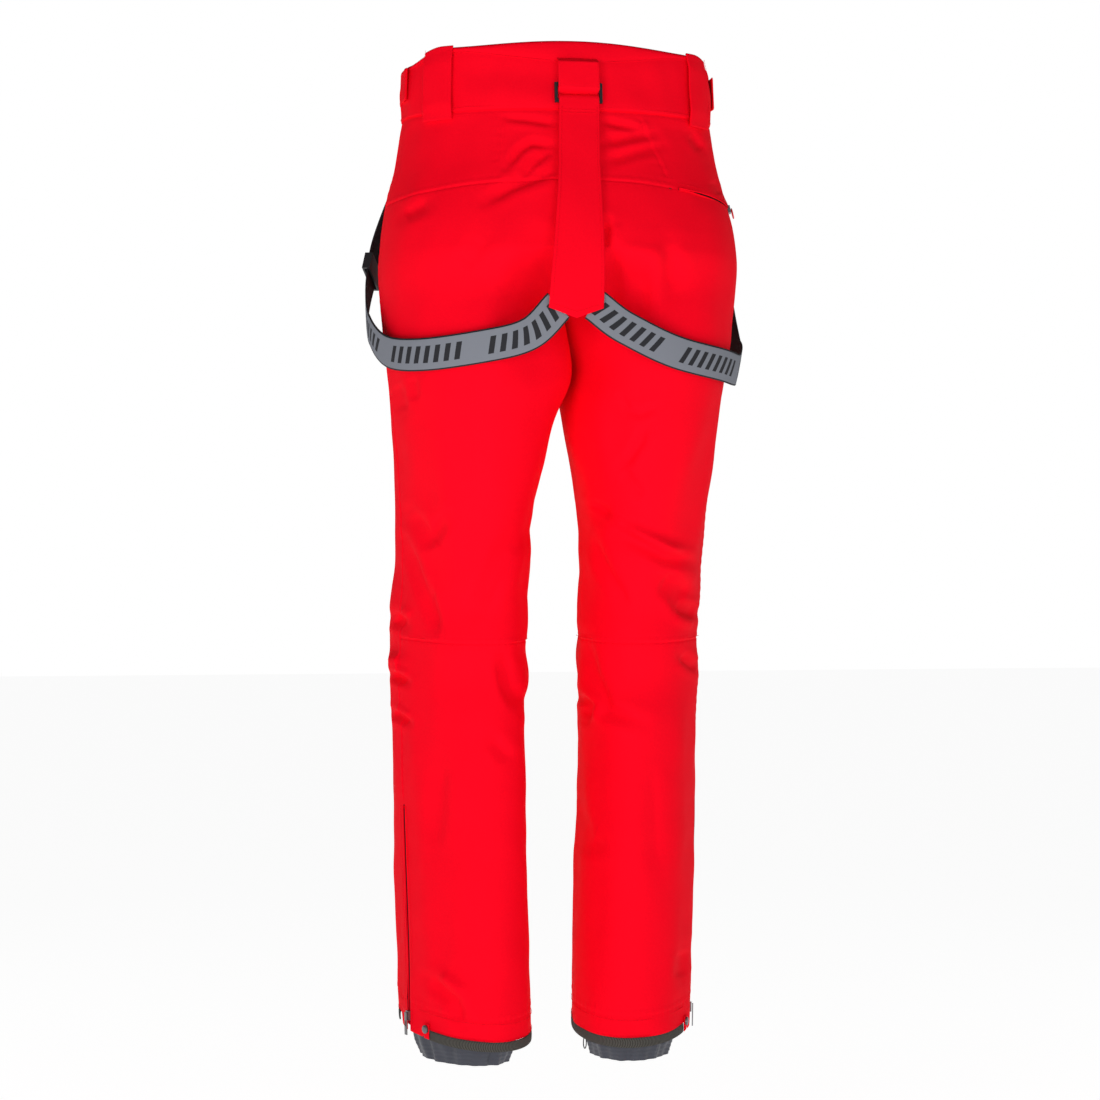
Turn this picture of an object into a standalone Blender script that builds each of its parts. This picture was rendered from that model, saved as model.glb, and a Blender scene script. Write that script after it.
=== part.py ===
"""Insulated ski pants with webbing braces, zipped hems and inner gaiters, in metres.

Frame: +Z up, +Y the way the wearer faces, +X the wearer's right. The origin is the centre of the
waist opening, level with the top edge of the waistband.
"""
import math

import bmesh
import bpy
import numpy as np
from mathutils import Vector

GAP = 0.0004          # clearance between neighbouring sewn pieces
SHELL = 0.0012        # shell fabric thickness
BAND_LOW = -0.072     # lower edge of the waistband
YOKE_BACK = -0.146    # yoke seam at the centre of the back
YOKE_SIDE = -0.163    # yoke seam at the side
RISE_TOP = -0.215     # where the seat seam starts to run in under the body
CROTCH = -0.296
KNEE_TOP = -0.500
KNEE_LOW = -0.700
KNEE_PIVOT = -0.600
HEM = -1.040          # hem at the sides of the leg
HEM_DIP = 0.012       # how far the hem drops at the heel
HEM_TAPE = 0.010
ZIP_TOP = -0.796      # upper end of the hem zip
SIDES = (("right", 1.0), ("left", -1.0))

# Height, half width at the side, back depth, front depth of the trunk.
TRUNK = (
    (0.020, 0.1610, 0.1060, 0.0960),
    (0.000, 0.1625, 0.1085, 0.0980),
    (-0.040, 0.1640, 0.1130, 0.1010),
    (-0.080, 0.1660, 0.1190, 0.1050),
    (-0.120, 0.1720, 0.1290, 0.1100),
    (-0.160, 0.1820, 0.1400, 0.1140),
    (-0.200, 0.1890, 0.1480, 0.1170),
    (-0.240, 0.1915, 0.1520, 0.1190),
    (-0.280, 0.1905, 0.1500, 0.1200),
    (-0.320, 0.1860, 0.1420, 0.1200),
    (-0.360, 0.1800, 0.1320, 0.1190),
    (-0.400, 0.1740, 0.1240, 0.1180),
)

# Height, centre across, centre forward, half width, half depth, outward turn in degrees of a leg.
LEG = (
    (-0.120, 0.0900, -0.0080, 0.0897, 0.1180, 0.0),
    (-0.200, 0.0945, -0.0080, 0.0942, 0.1200, 0.0),
    (-0.296, 0.0938, -0.0060, 0.0932, 0.1210, 0.0),
    (-0.330, 0.0921, -0.0040, 0.0908, 0.1200, 0.0),
    (-0.360, 0.0908, -0.0010, 0.0880, 0.1180, 1.0),
    (-0.410, 0.0928, 0.0050, 0.0805, 0.1150, 4.0),
    (-0.455, 0.0960, 0.0130, 0.0730, 0.1120, 7.0),
    (-0.500, 0.0983, 0.0230, 0.0672, 0.1080, 9.0),
    (-0.550, 0.0985, 0.0340, 0.0655, 0.1060, 11.0),
    (-0.600, 0.0990, 0.0420, 0.0657, 0.1050, 13.0),
    (-0.650, 0.0998, 0.0460, 0.0655, 0.1040, 14.0),
    (-0.750, 0.0990, 0.0470, 0.0640, 0.1040, 14.0),
    (-0.850, 0.0965, 0.0470, 0.0635, 0.1040, 14.0),
    (-0.950, 0.0930, 0.0470, 0.0635, 0.1035, 14.0),
    (-1.060, 0.0910, 0.0470, 0.0635, 0.1030, 14.0),
)

# Height, half width and half depth of the gathered inner gaiter.
GAITER = (
    (-0.960, 0.0555, 0.0930),
    (-1.020, 0.0540, 0.0880),
    (-1.050, 0.0490, 0.0790),
    (-1.072, 0.0430, 0.0690),
)


def smooth(t):
    t = min(1.0, max(0.0, t))
    return t * t * (3.0 - 2.0 * t)


def rows(table, z):
    """The table's values at a height, joined by a smooth curve."""
    data = np.array(table)
    heights = data[:, 0]
    last = len(heights) - 1
    i = int(np.clip(np.searchsorted(-heights, -z) - 1, 0, last - 1))
    h = heights[i + 1] - heights[i]
    t = float(np.clip((z - heights[i]) / h, 0.0, 1.0))
    low = max(i - 1, 0)
    high = min(i + 2, last)
    m0 = (data[i + 1, 1:] - data[low, 1:]) / (heights[i + 1] - heights[low]) * h
    m1 = (data[high, 1:] - data[i, 1:]) / (heights[high] - heights[i]) * h
    a = 2 * t**3 - 3 * t**2 + 1
    b = t**3 - 2 * t**2 + t
    c = -2 * t**3 + 3 * t**2
    d = t**3 - t**2
    return a * data[i, 1:] + b * m0 + c * data[i + 1, 1:] + d * m1


def trunk_point(u, z):
    """Half of the trunk: u is 0 at the centre back, 0.5 at the side and 1 at the centre front."""
    wide, back, front = rows(TRUNK, max(z, -0.399))
    if u < 0 or u > 1:
        p = trunk_point(-u if u < 0 else 2 - u, z)
        return Vector((-p.x, p.y, p.z))
    turn = math.pi * u
    deep = -back if u < 0.5 else front
    square = 0.92 - 0.12 * smooth((-0.10 - z) / 0.12)
    x = wide * max(math.sin(turn), 0.0) ** square
    return Vector((x, deep * abs(math.cos(turn)) ** square, z))


def leg_point(u, z):
    """A leg: u is 0 at the inseam, 0.25 at the back, 0.5 at the outside and 0.75 at the front."""
    across, forward, wide, deep, turn_deg = rows(LEG, z)
    turn = 2 * math.pi * u
    x = -wide * math.cos(turn)
    y = -deep * math.sin(turn)
    out = -math.radians(turn_deg)
    cos, sin = math.cos(out), math.sin(out)
    drop = HEM_DIP * math.sin(turn) * smooth((-0.86 - z) / 0.18)
    return Vector((across + x * cos - y * sin, forward + x * sin + y * cos, z - drop))


def base_point(u, z):
    u = u % 1.0 if z < CROTCH else min(1.0, max(0.0, u))
    share = smooth((RISE_TOP - z) / (RISE_TOP - CROTCH))
    if share <= 0:
        return trunk_point(u, z)
    if share >= 1:
        return leg_point(u, z)
    return trunk_point(u, z).lerp(leg_point(u, z), share)


def normal_at(function, u, z):
    du, dz = 0.004, 0.003
    along = function(u + du, z) - function(u - du, z)
    if along.length < 1e-7:
        along = Vector((1, 0, 0))
    up = function(u, z + dz) - function(u, z - dz)
    return along.cross(up).normalized()


def edge_safe(function):
    """The same surface, with its end points carried on straight, for slopes at a seam."""
    def safe(u, z):
        if z >= CROTCH and u < 0:
            p = function(-u, z)
            return Vector((-p.x, p.y, p.z))
        if z >= CROTCH and u > 1:
            p = function(2 - u, z)
            return Vector((-p.x, p.y, p.z))
        return function(u, z)
    return safe


def on_shell(side, u, z, off=0.0):
    """A point of the garment, moved out by off, on the right (side 1) or left (side -1)."""
    function = edge_safe(base_point)
    p = function(u, z)
    n = normal_at(function, u, z)
    if z >= CROTCH and (u <= 0 or u >= 1):
        n.x = 0
        n.normalize()
    q = p + n * off
    q.x = max(q.x, GAP) if z > -0.36 else q.x
    return Vector((side * q.x, q.y, q.z))


def on_hull(side, u, z, off=0.0):
    """A point on the smooth outline of the seat and hips, which spans both thighs."""
    q = trunk_point(u, z) + normal_at(trunk_point, u, z) * off
    return Vector((side * q.x, q.y, q.z))


def mesh_object(name, points, faces):
    mesh = bpy.data.meshes.new(name)
    mesh.from_pydata([tuple(p) for p in points], [], faces)
    work = bmesh.new()
    work.from_mesh(mesh)
    bmesh.ops.recalc_face_normals(work, faces=work.faces)
    if work.calc_volume(signed=True) < 0:
        bmesh.ops.reverse_faces(work, faces=work.faces)
    bmesh.ops.triangulate(work, faces=work.faces)
    work.to_mesh(mesh)
    work.free()
    thing = bpy.data.objects.new(name, mesh)
    bpy.context.scene.collection.objects.link(thing)
    return thing


def slab(name, outer, inner, closed=False):
    """A closed sheet between two equal grids of points. closed joins the last column to the first."""
    high = len(outer)
    wide = len(outer[0])
    points = [p for row in outer for p in row] + [p for row in inner for p in row]
    under = high * wide
    faces = []
    columns = wide if closed else wide - 1
    for i in range(high - 1):
        for j in range(columns):
            k = (j + 1) % wide
            a, b = i * wide + j, i * wide + k
            c, d = (i + 1) * wide + k, (i + 1) * wide + j
            faces.append((a, b, c, d))
            faces.append((under + d, under + c, under + b, under + a))
    for j in range(columns):
        k = (j + 1) % wide
        for i in (0, high - 1):
            faces.append((i * wide + j, i * wide + k, under + i * wide + k, under + i * wide + j))
    if not closed:
        for i in range(high - 1):
            for j in (0, wide - 1):
                a, b = i * wide + j, (i + 1) * wide + j
                faces.append((a, b, under + b, under + a))
    return mesh_object(name, points, faces)


def value(thing, *at):
    return thing(*at) if callable(thing) else thing


def patch(name, side, across, along, cells, outer=0.0, inner=-SHELL, where=on_shell, closed=False):
    """A sewn panel. across and along are (start, end), each a number or a function of the other."""
    many_u, many_z = cells
    count = many_u if closed else many_u + 1
    out_rows, in_rows = [], []
    for i in range(many_z + 1):
        out_row, in_row = [], []
        for j in range(count):
            s, t = j / many_u, i / many_z
            mid_z = value(along[0], 0.5) * (1 - t) + value(along[1], 0.5) * t
            u = value(across[0], mid_z) * (1 - s) + value(across[1], mid_z) * s
            z = value(along[0], u) * (1 - t) + value(along[1], u) * t
            out_row.append(where(side, u, z, value(outer, s, t)))
            in_row.append(where(side, u, z, value(inner, s, t)))
        out_rows.append(out_row)
        in_rows.append(in_row)
    return slab(name, out_rows, in_rows, closed)


def ribbon(name, stations, thick):
    """A strip through stations of (centre, direction across, face normal, width)."""
    out_rows, in_rows = [], []
    for centre, across, normal, width in stations:
        steps = [across * (width * s) for s in (-0.5, -0.25, 0.0, 0.25, 0.5)]
        out_rows.append([centre + s + normal * (thick / 2) for s in steps])
        in_rows.append([centre + s - normal * (thick / 2) for s in steps])
    return slab(name, out_rows, in_rows)


def along_body(side, knots, width, count, where=on_hull):
    """Stations of a ribbon that follows (u, height, stand-off) knots round the body."""
    data = np.array(knots)
    middles = []
    for i in range(count + 1):
        t = i / count * (len(data) - 1)
        k = min(int(t), len(data) - 2)
        f = t - k
        before, after = data[max(k - 1, 0)], data[min(k + 2, len(data) - 1)]
        m0 = (data[k + 1] - before) / 2
        m1 = (after - data[k]) / 2
        mid = ((2 * f**3 - 3 * f**2 + 1) * data[k] + (f**3 - 2 * f**2 + f) * m0
               + (3 * f**2 - 2 * f**3) * data[k + 1] + (f**3 - f**2) * m1)
        middles.append(mid)
    stations = []
    for i, mid in enumerate(middles):
        here = where(side, *mid)
        ahead = where(side, *middles[min(i + 1, count)])
        behind = where(side, *middles[max(i - 1, 0)])
        tangent = (ahead - behind).normalized()
        normal = (where(side, mid[0], mid[1], mid[2] + 0.01) - here).normalized()
        across = tangent.cross(normal).normalized()
        normal = across.cross(tangent).normalized()
        wide = width(i / count) if callable(width) else width
        stations.append((here, across, normal, wide))
    return stations


def frame_block(name, centre, axes, size, hole=None):
    """A plain block on three axes, or a rectangular ring when hole gives the opening's two sizes."""
    ax, ay, az = axes
    sx, sy, sz = (s / 2 for s in size)
    if hole is None:
        corners = [centre + ax * (i * sx) + ay * (j * sy) + az * (k * sz)
                   for i in (-1, 1) for j in (-1, 1) for k in (-1, 1)]
        faces = [(0, 1, 3, 2), (4, 6, 7, 5), (0, 4, 5, 1), (2, 3, 7, 6), (0, 2, 6, 4), (1, 5, 7, 3)]
        return mesh_object(name, corners, faces)
    hx, hz = hole[0] / 2, hole[1] / 2
    loops = []
    for depth in (-sy, sy):
        for wx, wz in ((sx, sz), (hx, hz)):
            loops.append([centre + ax * (i * wx) + az * (k * wz) + ay * depth
                          for i, k in ((-1, -1), (1, -1), (1, 1), (-1, 1))])
    points = [p for loop in loops for p in loop]
    faces = []
    for j in range(4):
        k = (j + 1) % 4
        faces.append((j, k, 4 + k, 4 + j))
        faces.append((8 + j, 12 + j, 12 + k, 8 + k))
        faces.append((j, 8 + j, 8 + k, k))
        faces.append((4 + j, 4 + k, 12 + k, 12 + j))
    return mesh_object(name, points, faces)


def disc(name, centre, axis, radius, thick, dome=0.0, sides=20):
    """A round press-stud part, with its back on centre and its face towards axis."""
    axis = axis.normalized()
    one = axis.orthogonal().normalized()
    two = axis.cross(one)
    rings = [(radius, 0.0), (radius, thick), (radius * 0.55, thick + dome)]
    points = []
    for r, h in rings:
        for i in range(sides):
            turn = 2 * math.pi * i / sides
            points.append(centre + one * (r * math.cos(turn)) + two * (r * math.sin(turn)) + axis * h)
    faces = [tuple(range(sides)), tuple(range(3 * sides - 1, 2 * sides - 1, -1))]
    for level in range(2):
        for i in range(sides):
            k = (i + 1) % sides
            a = level * sides
            faces.append((a + i, a + k, a + sides + k, a + sides + i))
    return mesh_object(name, points, faces)


def clear_scene():
    for thing in list(bpy.data.objects):
        bpy.data.objects.remove(thing, do_unlink=True)


def yoke_line(u):
    return YOKE_BACK + (YOKE_SIDE - YOKE_BACK) * smooth(u / 0.5)


def hem_line(u):
    return HEM


clear_scene()

SEAM_U = 0.0008       # half of a long seam's clearance, as a share of the way round
ZIP_OPEN_U = 0.0046   # half of the hem zip's slot, as a share of the way round
ZIP_OPEN = 0.0025     # half of the rear pocket zip's slot
POCKET = (0.17, 0.45)
TAPE_HALF = 0.012
TAPE_DEEP = 0.0030
STRAP_WIDE = 0.034
STRAP_THICK = 0.0016
FLY = (-0.078, -0.206)


def ridge(across, along):
    """A zip tape's outer face: flat at its rim, with the teeth standing up along the middle."""
    teeth = abs(across - 0.5) < 0.07 and 0.05 < along < 0.95
    return -0.0003 if teeth else -TAPE_DEEP


def level_top(band):
    """Makes the waistband's top edge one flat face at height 0."""
    for vertex in band.data.vertices:
        if abs(vertex.co.z) < 0.0010:
            vertex.co.z = 0.0


def hand_ridge(across, along):
    """A hand pocket zip's outer face: its teeth stand lower half way, where the hip bulges most."""
    return 0.0030 - 0.0013 * math.sin(math.pi * along) if abs(across - 0.5) < 0.07 else 0.0016


def yoke_gap(side, u):
    """Half of the yoke seam's clearance, wider along the pocket zip on the right."""
    if side < 0:
        return GAP / 2
    inside = smooth((u - POCKET[0] + 0.02) / 0.02) * smooth((POCKET[1] + 0.02 - u) / 0.02)
    return GAP / 2 + ZIP_OPEN * inside


def zip_gap(z):
    return SEAM_U + (ZIP_OPEN_U - SEAM_U) * smooth((ZIP_TOP - z) / 0.006)


def front_edge(z):
    """The front panel's centre edge, set back along the fly."""
    inside = smooth((FLY[0] + 0.002 - z) / 0.004) * smooth((z - FLY[1] + 0.004) / 0.008)
    return 1 - SEAM_U - 0.0035 * inside


def lower_edge(u):
    """The bottom of the lower leg: above the hem tape, but full length beside the zip."""
    near = smooth((0.055 - abs(u - 0.5)) / 0.020)
    return HEM + HEM_TAPE * (1 - near)


def lining_depth(s):
    """How far in the lining hangs, deeper beside the seat seam, where the shell turns in sharply."""
    return 0.0085 + 0.0060 * (1 - smooth(min(s, 1 - s) / 0.15))


def gaiter_point(u, z, off):
    wide, deep = rows(GAITER, z)
    across, forward, _, _, turn_deg = rows(LEG, max(z, -1.059))
    turn = 2 * math.pi * u
    gather = 0.0022 * smooth((-1.00 - z) / 0.05) * math.cos(16 * turn)
    x = -(wide + off + gather) * math.cos(turn)
    y = -(deep + off + gather) * math.sin(turn)
    out = -math.radians(turn_deg)
    return Vector((across + x * math.cos(out) - y * math.sin(out),
                   forward + x * math.sin(out) + y * math.cos(out), z))


def on_gaiter(side, u, z, off=0.0):
    p = gaiter_point(u, z, off)
    return Vector((side * p.x, p.y, p.z))


def axes_at(where, side, u, z):
    """Directions round the body, outward and up the surface at a point."""
    here = where(side, u, z)
    out = (where(side, u, z, 0.01) - here).normalized()
    up = (where(side, u, z + 0.004) - where(side, u, z - 0.004)).normalized()
    across = up.cross(out).normalized()
    out = across.cross(up).normalized()
    return across, out, up


def plate(name, side, where, u, z, stand, size, hole=None, shift=0.0):
    """A block or ring lying on the surface, its inner face at height stand above it."""
    across, out, up = axes_at(where, side, u, z)
    centre = where(side, u, z) + out * (stand + size[1] / 2) + up * shift
    return frame_block(name, centre, (across, out, up), size, hole)


# The waistband, with two wide belt loops at the back.
level_top(patch("waistband_back", 1, (-0.498, 0.498), (0.0, BAND_LOW), (32, 3), 0.0008, -0.0018,
                on_hull))
for tag, side in SIDES:
    level_top(patch("waistband_front_" + tag, side, (0.502, 1 - SEAM_U), (0.0, BAND_LOW), (14, 3),
                    0.0008, -0.0018, on_hull))

    def loop_out(s, t):
        return 0.0032 + 0.0026 * smooth(min(t, 1 - t) / 0.25)

    def loop_in(s, t):
        return 0.0012 + 0.0026 * smooth(min(t, 1 - t) / 0.25)

    patch("belt_loop_" + tag, side, (0.262, 0.352), (-0.004, -0.080), (4, 8),
          loop_out, loop_in, on_hull)

# The trunk and thighs.
for tag, side in SIDES:
    def yoke_low(u, side=side):
        return yoke_line(u) + yoke_gap(side, u)

    def panel_top(u, side=side):
        return yoke_line(u) - yoke_gap(side, u)

    seat_end = 0.5 - SEAM_U
    patch("back_yoke_" + tag, side, (SEAM_U, seat_end), (BAND_LOW - GAP, yoke_low), (14, 3))
    patch("seat_panel_" + tag, side, (SEAM_U, seat_end), (panel_top, KNEE_TOP + GAP), (12, 12))
    patch("front_panel_" + tag, side, (0.5 + SEAM_U, front_edge), (BAND_LOW - GAP, KNEE_TOP + GAP),
          (12, 15))
    patch("lining_" + tag, side, (0.04, 0.96), (-0.076, KNEE_TOP + 0.006), (14, 13),
          lambda s, t: -lining_depth(s), lambda s, t: -lining_depth(s) - 0.0010)

# The legs below the knee, with inner gaiters.
for tag, side in SIDES:
    patch("knee_" + tag, side, (0.0, 1.0), (KNEE_TOP, KNEE_LOW), (20, 6), 0.0, -0.0040, closed=True)
    patch("lower_back_" + tag, side, (SEAM_U, lambda z: 0.5 - zip_gap(z)),
          (KNEE_LOW - GAP, lower_edge), (16, 6))
    patch("lower_front_" + tag, side, (lambda z: 0.5 + zip_gap(z), 1 - SEAM_U),
          (KNEE_LOW - GAP, lower_edge), (16, 6))
    patch("hem_tape_" + tag, side, (0.567, 1.433), (HEM + HEM_TAPE - GAP, HEM), (28, 1),
          0.0004, -0.0010)
    patch("hem_zip_" + tag, side, (0.478, 0.522), (ZIP_TOP + 0.012, HEM + 0.003), (8, 12),
          ridge, -TAPE_DEEP - 0.0010)
    patch("gaiter_" + tag, side, (0.0, 1.0), (-0.980, -1.072), (64, 3), 0.0, -0.0010, on_gaiter,
          closed=True)
    plate("hem_slider_" + tag, side, on_shell, 0.5, HEM + 0.016, 0.0006, (0.0075, 0.0030, 0.0100))
    plate("hem_puller_" + tag, side, on_shell, 0.5, HEM + 0.016, 0.0042, (0.0055, 0.0012, 0.0240),
          (0.0030, 0.0060), -0.0085)
    patch("snap_tab_" + tag, side, (0.432, 0.446), (HEM + 0.017, HEM - 0.004), (2, 4),
          0.0024, 0.0010)
    across, out, up = axes_at(on_shell, side, 0.439, HEM + 0.011)
    disc("snap_cap_" + tag, on_shell(side, 0.439, HEM + 0.011, 0.0028), out, 0.0045, 0.0016, 0.0006)

# The rear pocket on the right.
patch("rear_zip", 1, (POCKET[0] - 0.012, POCKET[1] + 0.012),
      (lambda u: yoke_line(u) + TAPE_HALF, lambda u: yoke_line(u) - TAPE_HALF), (12, 8),
      lambda s, t: ridge(t, s), -TAPE_DEEP - 0.0010)
patch("rear_pocket_bag", 1, (POCKET[0], POCKET[1] - 0.01), (yoke_line(0.3) - 0.020, -0.275), (12, 5),
      -0.0034, -0.0050)
plate("rear_slider", 1, on_shell, POCKET[1] - 0.012, yoke_line(0.44), 0.0008,
      (0.0100, 0.0030, 0.0080))
plate("rear_puller", 1, on_shell, POCKET[1] - 0.012, yoke_line(0.44), 0.0044,
      (0.0075, 0.0012, 0.0120), (0.0045, 0.0080), -0.0050)

# The hand pockets and the fly at the front.
for tag, side in SIDES:
    patch("hand_zip_" + tag, side, (0.685, 0.715), (-0.148, -0.248), (8, 6),
          hand_ridge, 0.0006)
    plate("hand_slider_" + tag, side, on_shell, 0.700, -0.154, 0.0050, (0.0080, 0.0030, 0.0100))
    plate("hand_puller_" + tag, side, on_shell, 0.700, -0.154, 0.0086, (0.0060, 0.0012, 0.0200),
          (0.0034, 0.0060), -0.0075)
patch("fly_zip", 1, (0.968, 1.032), FLY, (8, 8), ridge, -TAPE_DEEP - 0.0010,
      on_hull)
plate("fly_slider", 1, on_hull, 1.0, -0.085, 0.0008, (0.0080, 0.0030, 0.0100))
plate("fly_puller", 1, on_hull, 1.0, -0.085, 0.0044, (0.0060, 0.0012, 0.0200), (0.0034, 0.0060),
      -0.0075)

# The closure at the front of the waistband.
patch("waist_flap", 1, (0.968, 1.052), (-0.012, -0.060), (8, 3),
      lambda s, t: 0.0028 + 0.0020 * smooth(s / 0.3),
      lambda s, t: 0.0012 + 0.0020 * smooth(s / 0.3), on_hull)
flap_out = axes_at(on_hull, 1, 1.034, -0.036)[1]
disc("flap_cap", on_hull(1, 1.034, -0.036, 0.0052), flap_out, 0.0070, 0.0016, 0.0008)
disc("flap_stud", on_hull(1, 1.034, -0.036, 0.0010), flap_out, 0.0040, 0.0016)

# The tabs that take in the waist.
for tag, side in SIDES:
    patch("waist_tab_" + tag, side, (0.432, 0.590), (-0.020, -0.054), (10, 2),
          lambda s, t: 0.0028 + 0.0030 * smooth((0.35 - s) / 0.35),
          lambda s, t: 0.0013 + 0.0030 * smooth((0.35 - s) / 0.35), on_hull)

# The ring at the centre of the back, in its fabric loop, with the tie-shaped tab.
patch("hanger_loop", 1, (-0.034, 0.034), (-0.020, -0.056), (6, 12),
      lambda s, t: 0.0028 + 0.0074 * smooth(min(t, 1 - t) / 0.15),
      lambda s, t: 0.0012 + 0.0074 * smooth(min(t, 1 - t) / 0.15), on_hull)
plate("back_ring", 1, on_hull, 0.0, -0.056, 0.0032, (0.050, 0.0030, 0.021), (0.044, 0.015))


def tab_width(drop):
    """The tab's width by its distance below the ring."""
    wide = float(np.interp(drop, (0.0, 0.07, 0.13, 0.19, 0.222), (0.042, 0.043, 0.049, 0.056, 0.057)))
    return wide


TAB_THICK = 0.0014
TAB_LEAN = 0.010      # how far the hanging tab's point leans to the wearer's left
across_tab = Vector((1, 0, 0))
fold = ((-0.0700, 0.0017), (-0.0620, 0.0017), (-0.0594, 0.0028), (-0.0586, 0.0047),
        (-0.0594, 0.0066), (-0.0620, 0.0078), (-0.0700, 0.0080))
path = [on_hull(1, 0.0, z, off) for z, off in fold]
for i in range(1, 15):
    z = -0.070 - 0.209 * i / 14
    here = on_hull(1, 0.0, z, 0.0078)
    here.x = -TAB_LEAN * i / 14
    path.append(here)
stations = []
for i, here in enumerate(path):
    tangent = (path[min(i + 1, len(path) - 1)] - path[max(i - 1, 0)]).normalized()
    normal = across_tab.cross(tangent).normalized()
    stations.append((here, across_tab, normal, tab_width(max(0.0, -0.059 - here.z))))
end_rows = len(stations)
tab = ribbon("back_tab", stations, TAB_THICK)
for vertex in tab.data.vertices:
    point = vertex.co
    if point.z < -0.2785:
        point.z -= 0.0105 * (1 - abs(point.x + TAB_LEAN) / 0.0285)

# The webbing braces, their adjusters and their clips at the front of the waistband.
BRACES = {
    "right": ((0.006, -0.275, 0.0035), (0.050, -0.298, 0.0052), (0.15, -0.321, 0.0065),
              (0.30, -0.331, 0.0070), (0.42, -0.332, 0.0085), (0.50, -0.314, 0.0130),
              (0.56, -0.280, 0.0118), (0.60, -0.235, 0.0104), (0.64, -0.180, 0.0112),
              (0.70, -0.120, 0.0110), (0.74, -0.076, 0.0072)),
    "left": ((0.028, -0.277, 0.0035), (0.070, -0.305, 0.0052), (0.15, -0.317, 0.0065),
             (0.28, -0.324, 0.0070), (0.40, -0.320, 0.0085), (0.47, -0.303, 0.0115),
             (0.535, -0.275, 0.0110), (0.60, -0.235, 0.0100), (0.66, -0.190, 0.0118),
             (0.70, -0.140, 0.0120), (0.74, -0.076, 0.0072)),
}
ADJUSTER_AT = {"right": 0.72, "left": 0.72}
for tag, side in SIDES:
    line = along_body(side, BRACES[tag], STRAP_WIDE, 32)
    ribbon("brace_" + tag, line, STRAP_THICK)
    here, across, normal, _ = line[round(32 * ADJUSTER_AT[tag])]
    frame_block("brace_adjuster_" + tag, here, (across, across.cross(normal).normalized(), normal),
                (0.0420, 0.0200, 0.0085), (0.0368, 0.0046))
    plate("brace_clip_" + tag, side, on_hull, 0.742, -0.039, 0.0040, (0.0420, 0.0030, 0.0300),
          (0.0350, 0.0200))
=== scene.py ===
"""Red insulated ski pants seen from behind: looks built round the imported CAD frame, in metres."""
import math

import bmesh
import bpy
import numpy as np
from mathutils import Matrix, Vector


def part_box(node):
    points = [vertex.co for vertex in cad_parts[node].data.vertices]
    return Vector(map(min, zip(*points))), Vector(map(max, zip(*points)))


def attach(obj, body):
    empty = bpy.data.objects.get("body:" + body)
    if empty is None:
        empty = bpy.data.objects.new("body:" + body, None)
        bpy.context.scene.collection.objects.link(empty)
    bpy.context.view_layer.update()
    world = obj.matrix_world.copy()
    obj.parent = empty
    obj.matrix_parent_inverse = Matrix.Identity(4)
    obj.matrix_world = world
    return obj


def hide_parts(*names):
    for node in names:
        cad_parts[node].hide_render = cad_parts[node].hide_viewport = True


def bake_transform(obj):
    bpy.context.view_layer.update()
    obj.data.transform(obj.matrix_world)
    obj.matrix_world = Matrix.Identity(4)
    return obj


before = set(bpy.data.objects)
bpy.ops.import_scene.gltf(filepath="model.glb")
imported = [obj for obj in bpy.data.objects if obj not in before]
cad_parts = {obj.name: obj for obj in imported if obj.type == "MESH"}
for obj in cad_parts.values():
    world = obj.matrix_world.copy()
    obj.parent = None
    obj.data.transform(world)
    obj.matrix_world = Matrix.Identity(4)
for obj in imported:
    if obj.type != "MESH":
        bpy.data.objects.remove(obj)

RISE_TOP, CROTCH = -0.215, -0.296
BAND_LOW, YOKE_BACK, YOKE_SIDE = -0.072, -0.146, -0.163
KNEE_SEAM = -0.620
HEM, HEM_DIP, HEM_TAPE, ZIP_TOP = -1.040, 0.012, 0.010, -0.796
YAW = math.radians(-11.0)
SIDES = (("right", 1.0), ("left", -1.0))

TRUNK = np.array((
    (0.020, 0.1610, 0.1060, 0.0960), (0.000, 0.1625, 0.1085, 0.0980),
    (-0.040, 0.1640, 0.1130, 0.1010), (-0.080, 0.1660, 0.1190, 0.1050),
    (-0.120, 0.1720, 0.1290, 0.1100), (-0.160, 0.1820, 0.1400, 0.1140),
    (-0.200, 0.1890, 0.1480, 0.1170), (-0.240, 0.1915, 0.1520, 0.1190),
    (-0.280, 0.1905, 0.1500, 0.1200), (-0.320, 0.1860, 0.1420, 0.1200),
    (-0.360, 0.1800, 0.1320, 0.1190), (-0.400, 0.1740, 0.1240, 0.1180)))
LEG = np.array((
    (-0.120, 0.0900, -0.0080, 0.0897, 0.1180, 0.0), (-0.200, 0.0945, -0.0080, 0.0942, 0.1200, 0.0),
    (-0.296, 0.0938, -0.0060, 0.0932, 0.1210, 0.0), (-0.330, 0.0921, -0.0040, 0.0908, 0.1200, 0.0),
    (-0.360, 0.0908, -0.0010, 0.0880, 0.1180, 1.0), (-0.410, 0.0928, 0.0050, 0.0805, 0.1150, 4.0),
    (-0.455, 0.0960, 0.0130, 0.0730, 0.1120, 7.0), (-0.500, 0.0983, 0.0230, 0.0672, 0.1080, 9.0),
    (-0.550, 0.0985, 0.0340, 0.0655, 0.1060, 11.0), (-0.600, 0.0990, 0.0420, 0.0657, 0.1050, 13.0),
    (-0.650, 0.0998, 0.0460, 0.0655, 0.1040, 14.0), (-0.750, 0.0990, 0.0470, 0.0640, 0.1040, 14.0),
    (-0.850, 0.0965, 0.0470, 0.0635, 0.1040, 14.0), (-0.950, 0.0930, 0.0470, 0.0635, 0.1035, 14.0),
    (-1.060, 0.0910, 0.0470, 0.0635, 0.1030, 14.0)))
GAITER = np.array(((-0.960, 0.0555, 0.0930), (-1.020, 0.0540, 0.0880), (-1.050, 0.0490, 0.0790),
                   (-1.072, 0.0430, 0.0690)))


def smooth(t):
    t = np.clip(t, 0.0, 1.0)
    return t * t * (3.0 - 2.0 * t)


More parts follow.
